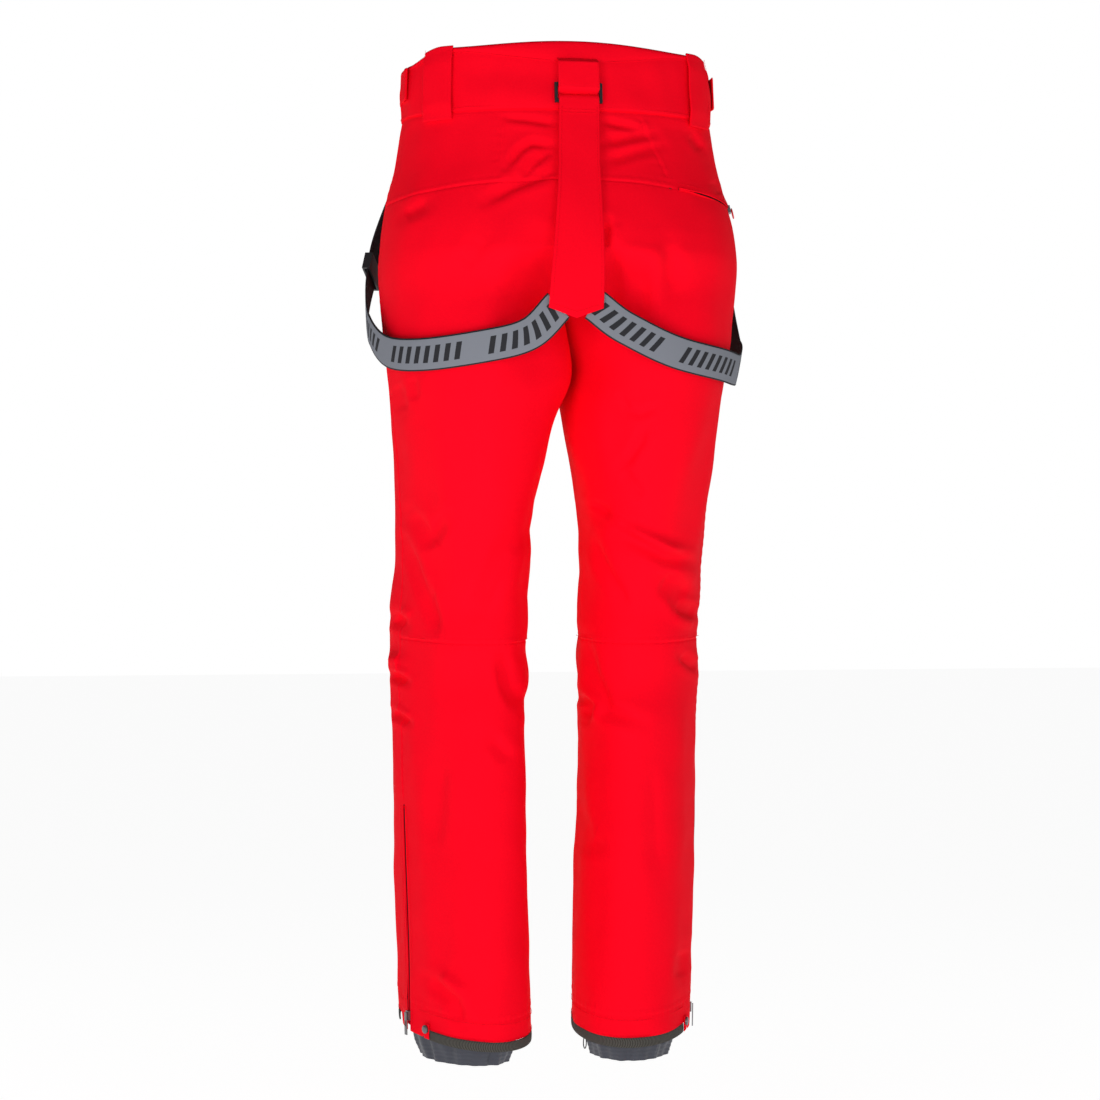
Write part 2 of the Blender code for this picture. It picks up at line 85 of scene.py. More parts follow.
def rows(table, z):
    """The table's values at heights z, joined by a smooth curve, as a list of arrays."""
    heights = table[:, 0]
    last = len(heights) - 1
    i = np.clip(np.searchsorted(-heights, -z) - 1, 0, last - 1)
    low, high = np.maximum(i - 1, 0), np.minimum(i + 2, last)
    h = heights[i + 1] - heights[i]
    t = np.clip((z - heights[i]) / h, 0.0, 1.0)
    found = []
    for k in range(1, table.shape[1]):
        v = table[:, k]
        m0 = (v[i + 1] - v[low]) / (heights[i + 1] - heights[low]) * h
        m1 = (v[high] - v[i]) / (heights[high] - heights[i]) * h
        found.append((2 * t**3 - 3 * t**2 + 1) * v[i] + (t**3 - 2 * t**2 + t) * m0
                     + (3 * t**2 - 2 * t**3) * v[i + 1] + (t**3 - t**2) * m1)
    return found


def trunk(u, z):
    u, z = np.broadcast_arrays(np.asarray(u, float), np.asarray(z, float))
    flip = np.where((u < 0) | (u > 1), -1.0, 1.0)
    u = np.where(u < 0, -u, np.where(u > 1, 2 - u, u))
    wide, back, front = rows(TRUNK, np.maximum(z, -0.399))
    turn = math.pi * u
    square = 0.92 - 0.12 * smooth((-0.10 - z) / 0.12)
    x = wide * np.maximum(np.sin(turn), 0.0) ** square
    y = np.where(u < 0.5, -back, front) * np.abs(np.cos(turn)) ** square
    return np.stack((x * flip, y, z), -1)


def leg(u, z):
    u, z = np.broadcast_arrays(np.asarray(u, float), np.asarray(z, float))
    across, forward, wide, deep, turn_deg = rows(LEG, z)
    turn = 2 * math.pi * u
    x, y = -wide * np.cos(turn), -deep * np.sin(turn)
    cos, sin = np.cos(-np.radians(turn_deg)), np.sin(-np.radians(turn_deg))
    drop = HEM_DIP * np.sin(turn) * smooth((-0.86 - z) / 0.18)
    return np.stack((across + x * cos - y * sin, forward + x * sin + y * cos, z - drop), -1)


def base(u, z):
    u, z = np.broadcast_arrays(np.asarray(u, float), np.asarray(z, float))
    share = smooth((RISE_TOP - z) / (RISE_TOP - CROTCH))[..., None]
    over = (z >= CROTCH) & ((u < 0) | (u > 1))
    v = np.where(over & (u < 0), -u, np.where(over & (u > 1), 2 - u, u))
    p = trunk(np.clip(v, 0, 1), z) * (1 - share) + leg(v, z) * share
    p[..., 0] = np.where(over, -p[..., 0], p[..., 0])
    return p


def normals(function, u, z):
    along = function(u + 0.003, z) - function(u - 0.003, z)
    up = function(u, z + 0.002) - function(u, z - 0.002)
    n = np.cross(along, up)
    return n / np.maximum(np.linalg.norm(n, axis=-1, keepdims=True), 1e-9)


def at(function, side, u, z, off=0.0):
    """Points on a surface, moved out by off, mirrored for the left side."""
    u, z = np.broadcast_arrays(np.asarray(u, float), np.asarray(z, float))
    p = function(u, z) + normals(function, u, z) * np.asarray(off)[..., None]
    return p * np.array((side, 1.0, 1.0))


def seen(p):
    """How far across the picture a point lies, seen from behind."""
    return p[..., 0] * math.cos(YAW) + p[..., 1] * math.sin(YAW)


def waves(p, count, size, seed):
    """Smooth noise of about -1 to 1 from sine waves of a given length."""
    rng = np.random.default_rng(seed)
    total = 0.0
    for _ in range(count):
        k = rng.normal(size=3)
        k *= 2 * math.pi / (size * rng.uniform(0.75, 1.35)) / np.linalg.norm(k)
        total = total + np.sin(p @ k + rng.uniform(0, 2 * math.pi))
    return total / math.sqrt(count / 2) / 1.6


def yoke_line(u):
    return YOKE_BACK + (YOKE_SIDE - YOKE_BACK) * smooth(u / 0.5)


def to_path(x, z, path):
    """Distance to a path of (x, z) points, which side of it, and how far along it, from 0 to 1."""
    best = np.full(np.shape(x), 9.0)
    side = np.zeros(np.shape(x))
    along = np.zeros(np.shape(x))
    path = np.array(path, float)
    steps = np.linalg.norm(np.diff(path, axis=0), axis=1)
    total, done = steps.sum(), 0.0
    for a, b, step in zip(path[:-1], path[1:], steps):
        d = (b - a) / step
        t = np.clip((x - a[0]) * d[0] + (z - a[1]) * d[1], 0, step)
        ex, ez = x - a[0] - d[0] * t, z - a[1] - d[1] * t
        dist = np.hypot(ex, ez)
        near = dist < best
        best = np.where(near, dist, best)
        side = np.where(near, d[0] * ez - d[1] * ex, side)
        along = np.where(near, (done + t) / total, along)
        done += step
    return best, side, along


# ---------------------------------------------------------------- materials

MIX_A, MIX_B, MIX_OUT = 6, 7, 2      # the colour sockets of a Mix node


def material(name, colour, rough=0.7, specular=0.3, metal=0.0, sheen=0.0):
    made = bpy.data.materials.new(name)
    made.use_nodes = True
    shader = made.node_tree.nodes["Principled BSDF"]
    shader.inputs["Base Color"].default_value = (*colour, 1)
    shader.inputs["Roughness"].default_value = rough
    shader.inputs["Specular IOR Level"].default_value = specular
    shader.inputs["Metallic"].default_value = metal
    shader.inputs["Sheen Weight"].default_value = sheen
    made.diffuse_color = (*colour, 1)
    return made


def node(made, kind, **values):
    found = made.node_tree.nodes.new(kind)
    for key, v in values.items():
        if hasattr(found, key):
            setattr(found, key, v)
        else:
            found.inputs[key.replace("_", " ")].default_value = v
    return found


def link(made, a, b):
    made.node_tree.links.new(a, b)


def woven(made, pitch=0.0011, depth=0.00012, tint=0.06, spots=0.0026):
    """Adds a fine twill from the cloth's own coordinates, which are in metres, and a faint mottling."""
    shader = made.node_tree.nodes["Principled BSDF"]
    place = node(made, "ShaderNodeUVMap", uv_map="cloth")
    twill = node(made, "ShaderNodeTexWave", Scale=0.47 / pitch, Distortion=1.2)
    twill.bands_direction = "DIAGONAL"
    cross = node(made, "ShaderNodeTexWave", Scale=0.36 / pitch, Distortion=0.8)
    cross.bands_direction = "X"
    speck = node(made, "ShaderNodeTexNoise", Scale=1.0 / spots, Detail=3.0, Roughness=0.6)
    for texture in (twill, cross, speck):
        link(made, place.outputs["UV"], texture.inputs["Vector"])
    add = node(made, "ShaderNodeMath", operation="ADD")
    link(made, twill.outputs["Fac"], add.inputs[0])
    link(made, cross.outputs["Fac"], add.inputs[1])
    more = node(made, "ShaderNodeMath", operation="ADD")
    link(made, add.outputs[0], more.inputs[0])
    link(made, speck.outputs["Fac"], more.inputs[1])
    bump = node(made, "ShaderNodeBump", Strength=0.55, Distance=depth)
    link(made, more.outputs[0], bump.inputs["Height"])
    link(made, bump.outputs["Normal"], shader.inputs["Normal"])
    colour = tuple(shader.inputs["Base Color"].default_value)
    mix = node(made, "ShaderNodeMix", data_type="RGBA", blend_type="MULTIPLY")
    mix.inputs[0].default_value = 1.0
    mix.inputs[MIX_A].default_value = colour
    ramp = node(made, "ShaderNodeMapRange")
    ramp.inputs["To Min"].default_value = 1.0 - tint
    ramp.inputs["To Max"].default_value = 1.0 + tint
    link(made, speck.outputs["Fac"], ramp.inputs["Value"])
    link(made, ramp.outputs["Result"], mix.inputs[MIX_B])
    link(made, mix.outputs[MIX_OUT], shader.inputs["Base Color"])
    return made


RED = (0.95, 0.0004, 0.0125)
shell_cloth = woven(material("red_softshell", RED, 0.80, 0.05))
inner_cloth = woven(material("inner_lining", (0.045, 0.045, 0.052), 0.85, 0.15), 0.0016)
gaiter_cloth = woven(material("gaiter_cloth", (0.040, 0.043, 0.058), 0.48, 0.35), 0.0008, 0.00003)
thread = material("red_thread", (0.80, 0.0008, 0.013), 0.7, 0.08)
dark_thread = material("dark_thread", (0.02, 0.02, 0.022), 0.6, 0.2)
plastic = material("black_plastic", (0.010, 0.010, 0.012), 0.38, 0.45)
gunmetal = material("gunmetal", (0.16, 0.16, 0.165), 0.34, 0.5, 0.9)
tooth = material("zip_teeth", (0.012, 0.011, 0.012), 0.35, 0.5)
zip_cloth = woven(material("zip_tape", (0.018, 0.016, 0.018), 0.85, 0.15), 0.0012)
red_plastic = material("red_coated_metal", (0.80, 0.006, 0.018), 0.35, 0.4)


def ribbed():
    """The hem tape: dark olive grey, with fine upright ribs."""
    made = material("hem_tape_cloth", (0.062, 0.058, 0.050), 0.8, 0.2)
    shader = made.node_tree.nodes["Principled BSDF"]
    place = node(made, "ShaderNodeUVMap", uv_map="cloth")
    ribs = node(made, "ShaderNodeTexWave", Scale=0.314 / 0.0018, Distortion=0.25)
    ribs.bands_direction = "X"
    link(made, place.outputs["UV"], ribs.inputs["Vector"])
    bump = node(made, "ShaderNodeBump", Strength=0.9, Distance=0.0005)
    link(made, ribs.outputs["Fac"], bump.inputs["Height"])
    link(made, bump.outputs["Normal"], shader.inputs["Normal"])
    ramp = node(made, "ShaderNodeMix", data_type="RGBA")
    ramp.inputs[MIX_A].default_value = (0.022, 0.020, 0.017, 1)
    ramp.inputs[MIX_B].default_value = (0.105, 0.098, 0.086, 1)
    link(made, ribs.outputs["Fac"], ramp.inputs[0])
    link(made, ramp.outputs[MIX_OUT], shader.inputs["Base Color"])
    return made


tape_cloth = ribbed()


# ---------------------------------------------------------------- mesh helpers

def grid(name, points, cloth_uv=None, finish=None, thick=0.0):
    """A mesh from an array of points, shape (rows, columns, 3), with the cloth's own coordinates."""
    high, wide = points.shape[:2]
    mesh = bpy.data.meshes.new(name)
    i, j = np.meshgrid(np.arange(high - 1), np.arange(wide - 1), indexing="ij")
    k = j + 1
    quads = np.stack((i * wide + j, (i + 1) * wide + j, (i + 1) * wide + k, i * wide + k), -1)
    quads = quads.reshape(-1, 4)
    mesh.vertices.add(high * wide)
    mesh.vertices.foreach_set("co", points.reshape(-1))
    mesh.loops.add(quads.size)
    mesh.loops.foreach_set("vertex_index", quads.reshape(-1))
    mesh.polygons.add(len(quads))
    mesh.polygons.foreach_set("loop_start", np.arange(0, quads.size, 4))
    mesh.polygons.foreach_set("use_smooth", np.ones(len(quads), bool))
    mesh.update(calc_edges=True)
    if cloth_uv is None:
        step = np.linalg.norm(np.diff(points, axis=1), axis=-1)
        run = np.concatenate((np.zeros((high, 1)), np.cumsum(step, axis=1)), axis=1)
        rise = np.linalg.norm(np.diff(points, axis=0), axis=-1)
        climb = np.concatenate((np.zeros((1, wide)), np.cumsum(rise, axis=0)), axis=0)
        cloth_uv = np.stack((run, climb), -1)
    uv = cloth_uv.reshape(-1, 2)[quads].copy()
    layer = mesh.uv_layers.new(name="cloth")
    layer.data.foreach_set("uv", uv.reshape(-1))
    thing = bpy.data.objects.new(name, mesh)
    bpy.context.scene.collection.objects.link(thing)
    if finish is not None:
        mesh.materials.append(finish)
    if thick:
        solid = thing.modifiers.new("thick", "SOLIDIFY")
        solid.thickness = abs(thick)
        solid.offset = -1.0
        solid.use_even_offset = False
    return thing


def flip(thing):
    work = bmesh.new()
    work.from_mesh(thing.data)
    bmesh.ops.reverse_faces(work, faces=work.faces)
    work.to_mesh(thing.data)
    work.free()
    return thing


def outward(thing, side):
    """Turns a piece's faces outwards: grids run round the body, so the left side's point inwards."""
    return flip(thing) if side < 0 else thing


def tube(name, points, radius, finish, cyclic=False):
    """A round cord, thread or wire through points."""
    curve = bpy.data.curves.new(name, "CURVE")
    curve.dimensions = "3D"
    line = curve.splines.new("POLY")
    line.points.add(len(points) - 1)
    for p, q in zip(line.points, points):
        p.co = (*q, 1)
    line.use_cyclic_u = cyclic
    curve.bevel_depth = radius
    curve.bevel_resolution = 2
    curve.materials.append(finish)
    thing = bpy.data.objects.new(name, curve)
    bpy.context.scene.collection.objects.link(thing)
    return thing


def stitches(name, places, outs, finish, pitch=0.0030, length=0.0022, radius=0.00022):
    """Short threads along a line of points, each an arch that dips into the cloth at its ends."""
    places, outs = np.asarray(places), np.asarray(outs)
    steps = np.linalg.norm(np.diff(places, axis=0), axis=1)
    run = np.concatenate(([0], np.cumsum(steps)))
    many = max(int(run[-1] / pitch), 1)
    verts, faces = [], []
    sides = 5
    for n in range(many):
        start = n * pitch
        ring_from = len(verts)
        arch = (0.0, 0.25, 0.5, 0.75, 1.0)
        centres = []
        for f in arch:
            s = start + f * length
            p = np.array([np.interp(s, run, places[:, c]) for c in range(3)])
            o = np.array([np.interp(s, run, outs[:, c]) for c in range(3)])
            centres.append((p + o * (radius * (1.6 * math.sin(math.pi * f) - 0.7)), o))
        for m, (p, o) in enumerate(centres):
            ahead = centres[min(m + 1, 4)][0] - centres[max(m - 1, 0)][0]
            ahead = ahead / max(np.linalg.norm(ahead), 1e-9)
            one = np.cross(ahead, o)
            one = one / max(np.linalg.norm(one), 1e-9)
            for q in range(sides):
                turn = 2 * math.pi * q / sides
                verts.append(p + radius * (math.cos(turn) * one + math.sin(turn) * o))
        for m in range(4):
            for q in range(sides):
                a = ring_from + m * sides
                b = (q + 1) % sides
                faces.append((a + q, a + b, a + sides + b, a + sides + q))
        faces.append(tuple(ring_from + q for q in reversed(range(sides))))
        faces.append(tuple(ring_from + 4 * sides + q for q in range(sides)))
    mesh = bpy.data.meshes.new(name)
    mesh.from_pydata([tuple(v) for v in verts], [], faces)
    mesh.materials.append(finish)
    mesh.polygons.foreach_set("use_smooth", np.ones(len(faces), bool))
    thing = bpy.data.objects.new(name, mesh)
    bpy.context.scene.collection.objects.link(thing)
    return thing


# ---------------------------------------------------------------- folds of the shell

# Each fold on the back: depth and width in mm, then its path in mm, across as seen from behind
# and up from the waistband's top edge. A negative depth is a ridge.
FOLDS = (
    (1.5, 4, (1, -111), (-26, -109), (-37, -116), (-51, -135)),
    (1.3, 4, (-1, -88), (-26, -84), (-57, -80)),
    (1.6, 6, (1, -135), (-11, -142), (-47, -156), (-73, -171)),
    (1.4, 5, (-1, -116), (-11, -119), (-37, -145)),
    (1.4, 4, (47, -81), (68, -86), (88, -89)),
    (1.5, 5, (48, -106), (73, -99), (104, -93)),
    (1.3, 5, (53, -125), (82, -114), (112, -104)),
    (1.2, 5, (143, -88), (155, -104)),
    (1.0, 6, (166, -135), (174, -151)),
    (4.2, 19, (2, -190), (-11, -230), (-24, -261), (-31, -287), (-28, -329)),
    (2.0, 9, (2, -233), (-6, -268), (-14, -295)),
    (3.0, 5, (52, -190), (50, -217)),
    (2.0, 12, (56, -204), (57, -247), (65, -274)),
    (1.2, 9, (87, -237), (90, -286)),
    (1.4, 9, (118, -209), (123, -257)),
    (-1.2, 12, (102, -209), (106, -276)),
    (1.2, 7, (-166, -351), (-160, -382)),
    (1.0, 6, (-150, -347), (-147, -372)),
    (1.3, 7, (-158, -180), (-131, -168)),
    (1.0, 9, (-73, -209), (-93, -238)),
    (0.9, 4, (66, -366), (75, -382), (88, -385), (104, -377)),
    (1.3, 5, (93, -397), (88, -414), (77, -430), (68, -438)),
    (2.2, 10, (52, -480), (46, -489)),
    (1.1, 6, (68, -443), (92, -471)),
    (2.2, 6, (66, -508), (92, -521), (117, -534), (143, -538)),
    (-1.5, 6, (69, -498), (94, -512), (119, -523), (140, -527)),
    (3.2, 10, (113, -555), (127, -566), (142, -576)),
    (1.6, 7, (35, -506), (51, -541), (68, -572), (77, -593)),
    (2.0, 7, (32, -618), (40, -657), (56, -696), (92, -708)),
    (3.2, 5, (24, -682), (35, -692), (32, -708)),
    (3.2, 6, (151, -595), (138, -591), (128, -586)),
    (1.6, 5, (152, -655), (132, -639)),
    (1.8, 7, (-153, -485), (-133, -513), (-114, -490)),
    (1.9, 6, (-160, -515), (-144, -557), (-127, -605)),
    (1.3, 6, (-133, -562), (-124, -609)),
    (2.2, 9, (-32, -506), (-52, -526), (-68, -557), (-81, -588)),
    (3.0, 6, (-171, -597), (-160, -605)),
    (2.8, 7, (-55, -636), (-47, -670), (-34, -692)),
    (1.2, 7, (-68, -721), (-47, -747)),
    (2.8, 4, (-175, -659), (-158, -666)),
    (2.8, 4, (-175, -700), (-156, -709)),
    (-2.2, 8, (-176, -645), (-165, -643)),
    (2.2, 7, (-135, -979), (-107, -998), (-98, -1024)),
    (-1.3, 8, (-121, -972), (-95, -991)),
    (1.0, 8, (25, -799), (35, -841), (56, -835)),
    (1.6, 7, (138, -955), (134, -986)),
    (1.2, 9, (-121, -747), (-129, -843)),
    (1.0, 10, (100, -747), (107, -872)),
)


def folded(q, facing, side):
    """How far the cloth of the back stands in or out, in metres, from the folds above."""
    x, z = seen(q), q[..., 2]
    total = np.zeros(x.shape)
    for depth, width, *path in FOLDS:
        line = np.array(path, float) / 1000
        if np.sign(line[:, 0].mean() - 0.006) != side and abs(line[:, 0].mean()) > 0.03:
            continue
        reach = width / 1000
        near = ((x > line[:, 0].min() - 4 * reach) & (x < line[:, 0].max() + 4 * reach)
                & (z > line[:, 1].min() - 4 * reach) & (z < line[:, 1].max() + 4 * reach))
        if not near.any():
            continue
        d, s, t = to_path(x[near], z[near], line)
        lean = 1.0 + 0.35 * np.tanh(s / reach)
        ends = smooth(t / 0.25) * smooth((1 - t) / 0.25) * 0.75 + 0.25
        total[near] -= 2.7 * depth / 1000 * ends * np.exp(-(d * lean / reach) ** 2)
        total[near] += 0.7 * depth / 1000 * ends * np.exp(-((d - 1.9 * reach) / reach) ** 2)
    return total * smooth((facing + 0.30) / 0.45)


def groove(d, run, deep=0.0009, half=0.0012):
    """A sewn seam at distance d: a narrow groove, with the cloth puckered a little beside it."""
    pucker = 0.00022 * np.sin(run / 0.0095 * 2 * math.pi) * np.exp(-(np.abs(d) / 0.006) ** 2)
    raised = 0.00030 * smooth((d + 0.0005) / 0.001) * smooth((0.0065 - d) / 0.003)
    return -deep * np.exp(-(d / half) ** 2) + pucker + raised


DARTS = {1.0: ((87, -79), (102, -110), (115, -138)), -1.0: ((-57, -82), (-61, -125))}   # in mm


def shell_relief(side, u, z, q, n):
    """The whole relief of the shell at points q with normals n."""
    facing = -(n[..., 1] * math.cos(YAW) - n[..., 0] * math.sin(YAW))
    d = np.zeros(u.shape)
    leg_part = smooth((-0.33 - z) / 0.10)
    d += 0.0011 * waves(q * (1, 1, 0.55), 26, 0.12, 3)
    d += 0.0005 * waves(q * (1, 1, 0.8), 26, 0.045, 5)
    d += 0.0016 * waves(q * (1, 1, 1.9), 24, 0.13, 8) * np.exp(-((z + 0.615) / 0.10) ** 2)
    d += 0.0010 * leg_part * waves(q * (1, 1, 0.22), 22, 0.060, 11)
    front = smooth((0.1 - facing) / 0.3)
    creases = waves(q * (1, 1, 1.6), 20, 0.10, 14 if side > 0 else 15)
    d += front * 0.0030 * np.abs(creases) * np.exp(-((z + 0.60) / 0.13) ** 2)
    d += front * 0.0022 * waves(q * (1.6, 1, 1), 20, 0.09, 17) * np.exp(-((z + 0.27) / 0.10) ** 2)
    d += folded(q, facing, side)
    calm = 1 - 0.85 * smooth((z + 0.088) / 0.014)
    d *= calm
    turn = np.where(z > CROTCH, math.pi, 2 * math.pi) * 0.13
    d += groove((u - 0.5) * turn, z) * smooth((z - ZIP_TOP) / 0.01)
    in_back = smooth((0.5 - u) / 0.004)
    d += groove(z - yoke_line(u), u * 0.5) * in_back * np.where((u > 0.17) & (side > 0), 0.3, 1)
    d += groove(z - KNEE_SEAM + 0.004 * np.sin(2 * math.pi * u), u * 0.55) * in_back
    dist, which, _ = to_path(seen(q), q[..., 2], np.array(DARTS[side]) / 1000)
    d += groove(np.where(which > 0, dist, -dist), q[..., 2], 0.0007) * (dist < 0.012) * (facing > 0)
    d += groove(z - HEM - 0.032, u * 0.55, 0.0004, 0.0009) * smooth((-0.99 - z) / 0.01)
    d -= 0.0008 * smooth((z - BAND_LOW + 0.004) / 0.003)
    deepest = 0.0062 + 0.0055 * (1 - smooth(np.minimum(u, 1 - u) / 0.17))      # as far as the lining
    return np.where(d < 0, -deepest * np.tanh(-d / deepest), d)


ROUND, HIGH = ((290, 500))     # points round and up each side of the shell
SLOT_U = 0.0040                                       # half the hem zip's slot, in turns


def crowded(start, end, many, places):
    """Many values from start to end, closer together round some places: (place, reach, how much)."""
    fine = np.linspace(start, end, 4000)
    crowd = 1.0 + sum(extra * np.exp(-((fine - place) / reach) ** 2) for place, reach, extra in places)
    run = np.concatenate(([0.0], np.cumsum(crowd[1:])))
    return np.interp(np.linspace(0, run[-1], many), run, fine)


MOUTH = 0.0008         # half the rear pocket's gap


def slot_half(u):
    """Half the height of the rear pocket's mouth."""
    return MOUTH * smooth((u - 0.205) / 0.05) * smooth((0.452 - u) / 0.008)


def shell(tag, side):
    """One side of the shell, from the waistband to the hem, with its zip slots open."""
    yoke_at = (YOKE_BACK + YOKE_SIDE) / 2
    u = crowded(0, 1, ROUND, ((0.5, 0.02, 2.0), (0.0, 0.02, 0.8), (1.0, 0.02, 0.8)))
    z = crowded(BAND_LOW + 0.001, HEM + HEM_TAPE, HIGH,
                ((yoke_at, 0.012, 2.0), (KNEE_SEAM, 0.012, 2.0), (HEM + 0.032, 0.008, 1.0)))
    uu, zz = np.meshgrid(u, z)
    off = uu - 0.5
    wide = SLOT_U * smooth((ZIP_TOP - zz) / 0.008)
    uu = uu + np.sign(off) * wide * smooth(1 - np.abs(off) / 0.03)
    row = int(np.argmin(np.abs(z - yoke_at)))
    middle = (z[row] + z[row + 1]) / 2
    bent = smooth(1 - np.abs(zz - middle) / 0.035) * smooth((0.56 - uu) / 0.06)
    zz = zz + (yoke_line(np.minimum(uu, 0.5)) - middle) * bent
    if side > 0:
        above = np.arange(HIGH)[:, None] <= row
        zz = zz + np.where(above, 1, -1) * slot_half(uu) * bent
    beside_zip = smooth((0.055 - np.abs(uu - 0.5)) / 0.012) * smooth((-0.97 - zz) / 0.06)
    zz = zz - HEM_TAPE * beside_zip
    p = base(uu, zz)
    n = normals(base, uu, zz)
    n[..., 0] = np.where((zz > CROTCH) & ((uu <= 0) | (uu >= 1)), 0, n[..., 0])
    n /= np.maximum(np.linalg.norm(n, axis=-1, keepdims=True), 1e-9)
    p, n = p * (side, 1, 1), n * (side, 1, 1)
    d = shell_relief(side, uu, zz, p, n)
    rim = smooth(np.minimum(uu, 1 - uu) / 0.012)
    d = np.where(zz > CROTCH - 0.02, d * (0.35 + 0.65 * rim), d)
    if side > 0:
        lip = np.exp(-((zz - yoke_line(uu)) / 0.010) ** 2) * slot_half(uu) / MOUTH
        d += lip * np.where(zz > yoke_line(uu), 0.0012, -0.0006)
    p = p + n * d[..., None]
    # The left thigh's cloth laps over the right one's below the seat.
    inner = np.exp(-(p[..., 0] / 0.034) ** 2) * np.exp(-((zz + 0.335) / 0.038) ** 2)
    back = smooth((0.02 - p[..., 1]) / 0.05)
    p[..., 0] += 0.013 * inner * back
    p[..., 1] += (-0.007 if side < 0 else 0.010) * inner * back
    thing = grid("shell_" + tag, p, None, shell_cloth)
    faces_round = ROUND - 1
    middle_face = int(np.searchsorted(u, 0.5)) - 1
    doomed = [i * faces_round + middle_face for i in range(HIGH - 1) if z[i] < ZIP_TOP - 0.001]
    if side > 0:
        mouth = slot_half(u) > 0.0003
        doomed += [row * faces_round + j for j in range(faces_round) if mouth[j] and mouth[j + 1]]
    work = bmesh.new()
    work.from_mesh(thing.data)
    work.faces.ensure_lookup_table()
    bmesh.ops.delete(work, geom=[work.faces[k] for k in doomed], context="FACES_ONLY")
    bmesh.ops.remove_doubles(work, verts=[v for v in work.verts if v.co.z < CROTCH + 0.001], dist=1e-6)
    work.to_mesh(thing.data)
    work.free()
    outward(thing, side)
    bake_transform(thing)
    parts = ("back_yoke_", "seat_panel_", "front_panel_", "knee_", "lower_back_", "lower_front_")
    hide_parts(*[part + tag for part in parts])


def placed(thing, body, *nodes, slot=None):
    """A piece that rides on a body, in place of CAD nodes. The slot argument is not used."""
    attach(thing, body)
    if nodes:
        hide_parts(*nodes)
    return thing


def panel(name, side, across, along, cells, off, finish, function=trunk, thick=0.0014):
    """A sewn piece over part of a surface, from across (start, end) and along (top, bottom)."""
    s, t = np.meshgrid(np.linspace(0, 1, cells[0] + 1), np.linspace(0, 1, cells[1] + 1))
    u = across[0] * (1 - s) + across[1] * s
    top = along[0](u) if callable(along[0]) else along[0]
    low = along[1](u) if callable(along[1]) else along[1]
    z = top * (1 - t) + low * t
    height = off(s, t) if callable(off) else np.full(s.shape, off)
    thing = grid(name, at(function, side, u, z, height), None, finish, thick)
    return outward(thing, side)


def line_on(function, side, u, z, off):
    """A run of points and outward directions along a surface, for stitches and edges."""
    u, z = np.broadcast_arrays(np.asarray(u, float), np.asarray(z, float))
    return at(function, side, u, z, off), normals(function, u, z) * (side, 1, 1)


def edges(s, t):
    """1 in the middle of a panel, falling to 0 right at its edges."""
    return smooth(np.minimum(np.minimum(s, 1 - s), np.minimum(t, 1 - t)) / 0.03)


for tag, side in SIDES:
    shell(tag, side)


# ---------------------------------------------------------------- waistband

def fold_line(u):
    """The stitched line under the waistband's rolled top: lower at the centre back."""
    return -0.0085 - 0.0135 * (1 - smooth(np.abs(u) / 0.31))


def top_edge(u):
    """The top of the waistband, which dips at the wearer's sides."""
    return (-0.0050 * smooth(np.abs(u) / 0.24) - 0.0120 * smooth((np.abs(u) - 0.29) / 0.15))


def band(name, side, start, end, cells):
    """A stretch of the waistband: a rolled top, a stitched line and a plain field below it."""
    s, t = np.meshgrid(np.linspace(0, 1, cells[0] + 1), np.linspace(0, 1, cells[1] + 1))
    u = start * (1 - s) + end * s
    z = top_edge(u) * (1 - t) + BAND_LOW * t
    line = np.minimum(fold_line(u), top_edge(u) - 0.006)
    roll = 0.0012 * np.sin(np.pi * np.clip((top_edge(u) - z) / (top_edge(u) - line), 0, 1)) ** 0.6
    field = 0.0011 * np.sin(np.pi * np.clip((line - z) / (line - BAND_LOW), 0, 1)) ** 0.5
    creases = 0.0009 * waves(np.stack((u * 0.5, z * 2.4, z * 0), -1), 18, 0.10, 21)
    ripple = 0.0005 * waves(np.stack((u * 0.5, z * 0.7, z * 0), -1), 18, 0.030, 22)
    edge = -0.0011 * smooth((z - top_edge(u) + 0.0028) / 0.0028)
    height = 0.0006 + roll + field + (creases + ripple) * np.sin(np.pi * t) ** 0.5 + edge
    return outward(grid(name, at(trunk, side, u, z, height), None, shell_cloth, 0.0026), side)


wide_cells = 420
for name, side, start, end in (("waistband_back", 1.0, -0.4985, 0.4985),
                               ("waistband_front_right", 1.0, 0.5015, 0.9995),
                               ("waistband_front_left", -1.0, 0.5015, 0.9995)):
    cells = (wide_cells if start < 0 else wide_cells // 2, 44)
    placed(band(name, side, start, end, cells), "trousers", name, slot="red_shell")
    run = np.linspace(start + 0.002, end - 0.002, 260)
    for part, height in (("top", np.minimum(fold_line(run), top_edge(run) - 0.006)),
                         ("low", BAND_LOW + 0.0028 + 0 * run)):
        places, outs = line_on(trunk, side, run, height, 0.0012)
        placed(stitches(f"{name}_stitches_{part}", places, outs, thread), "trousers")


def loop_off(base_height, rise, ends):
    return lambda s, t: (base_height + rise * smooth(np.minimum(t, 1 - t) / ends)
                         + 0.0004 * edges(s, t) + 0.0003 * np.sin(s * 5 + t * 9))


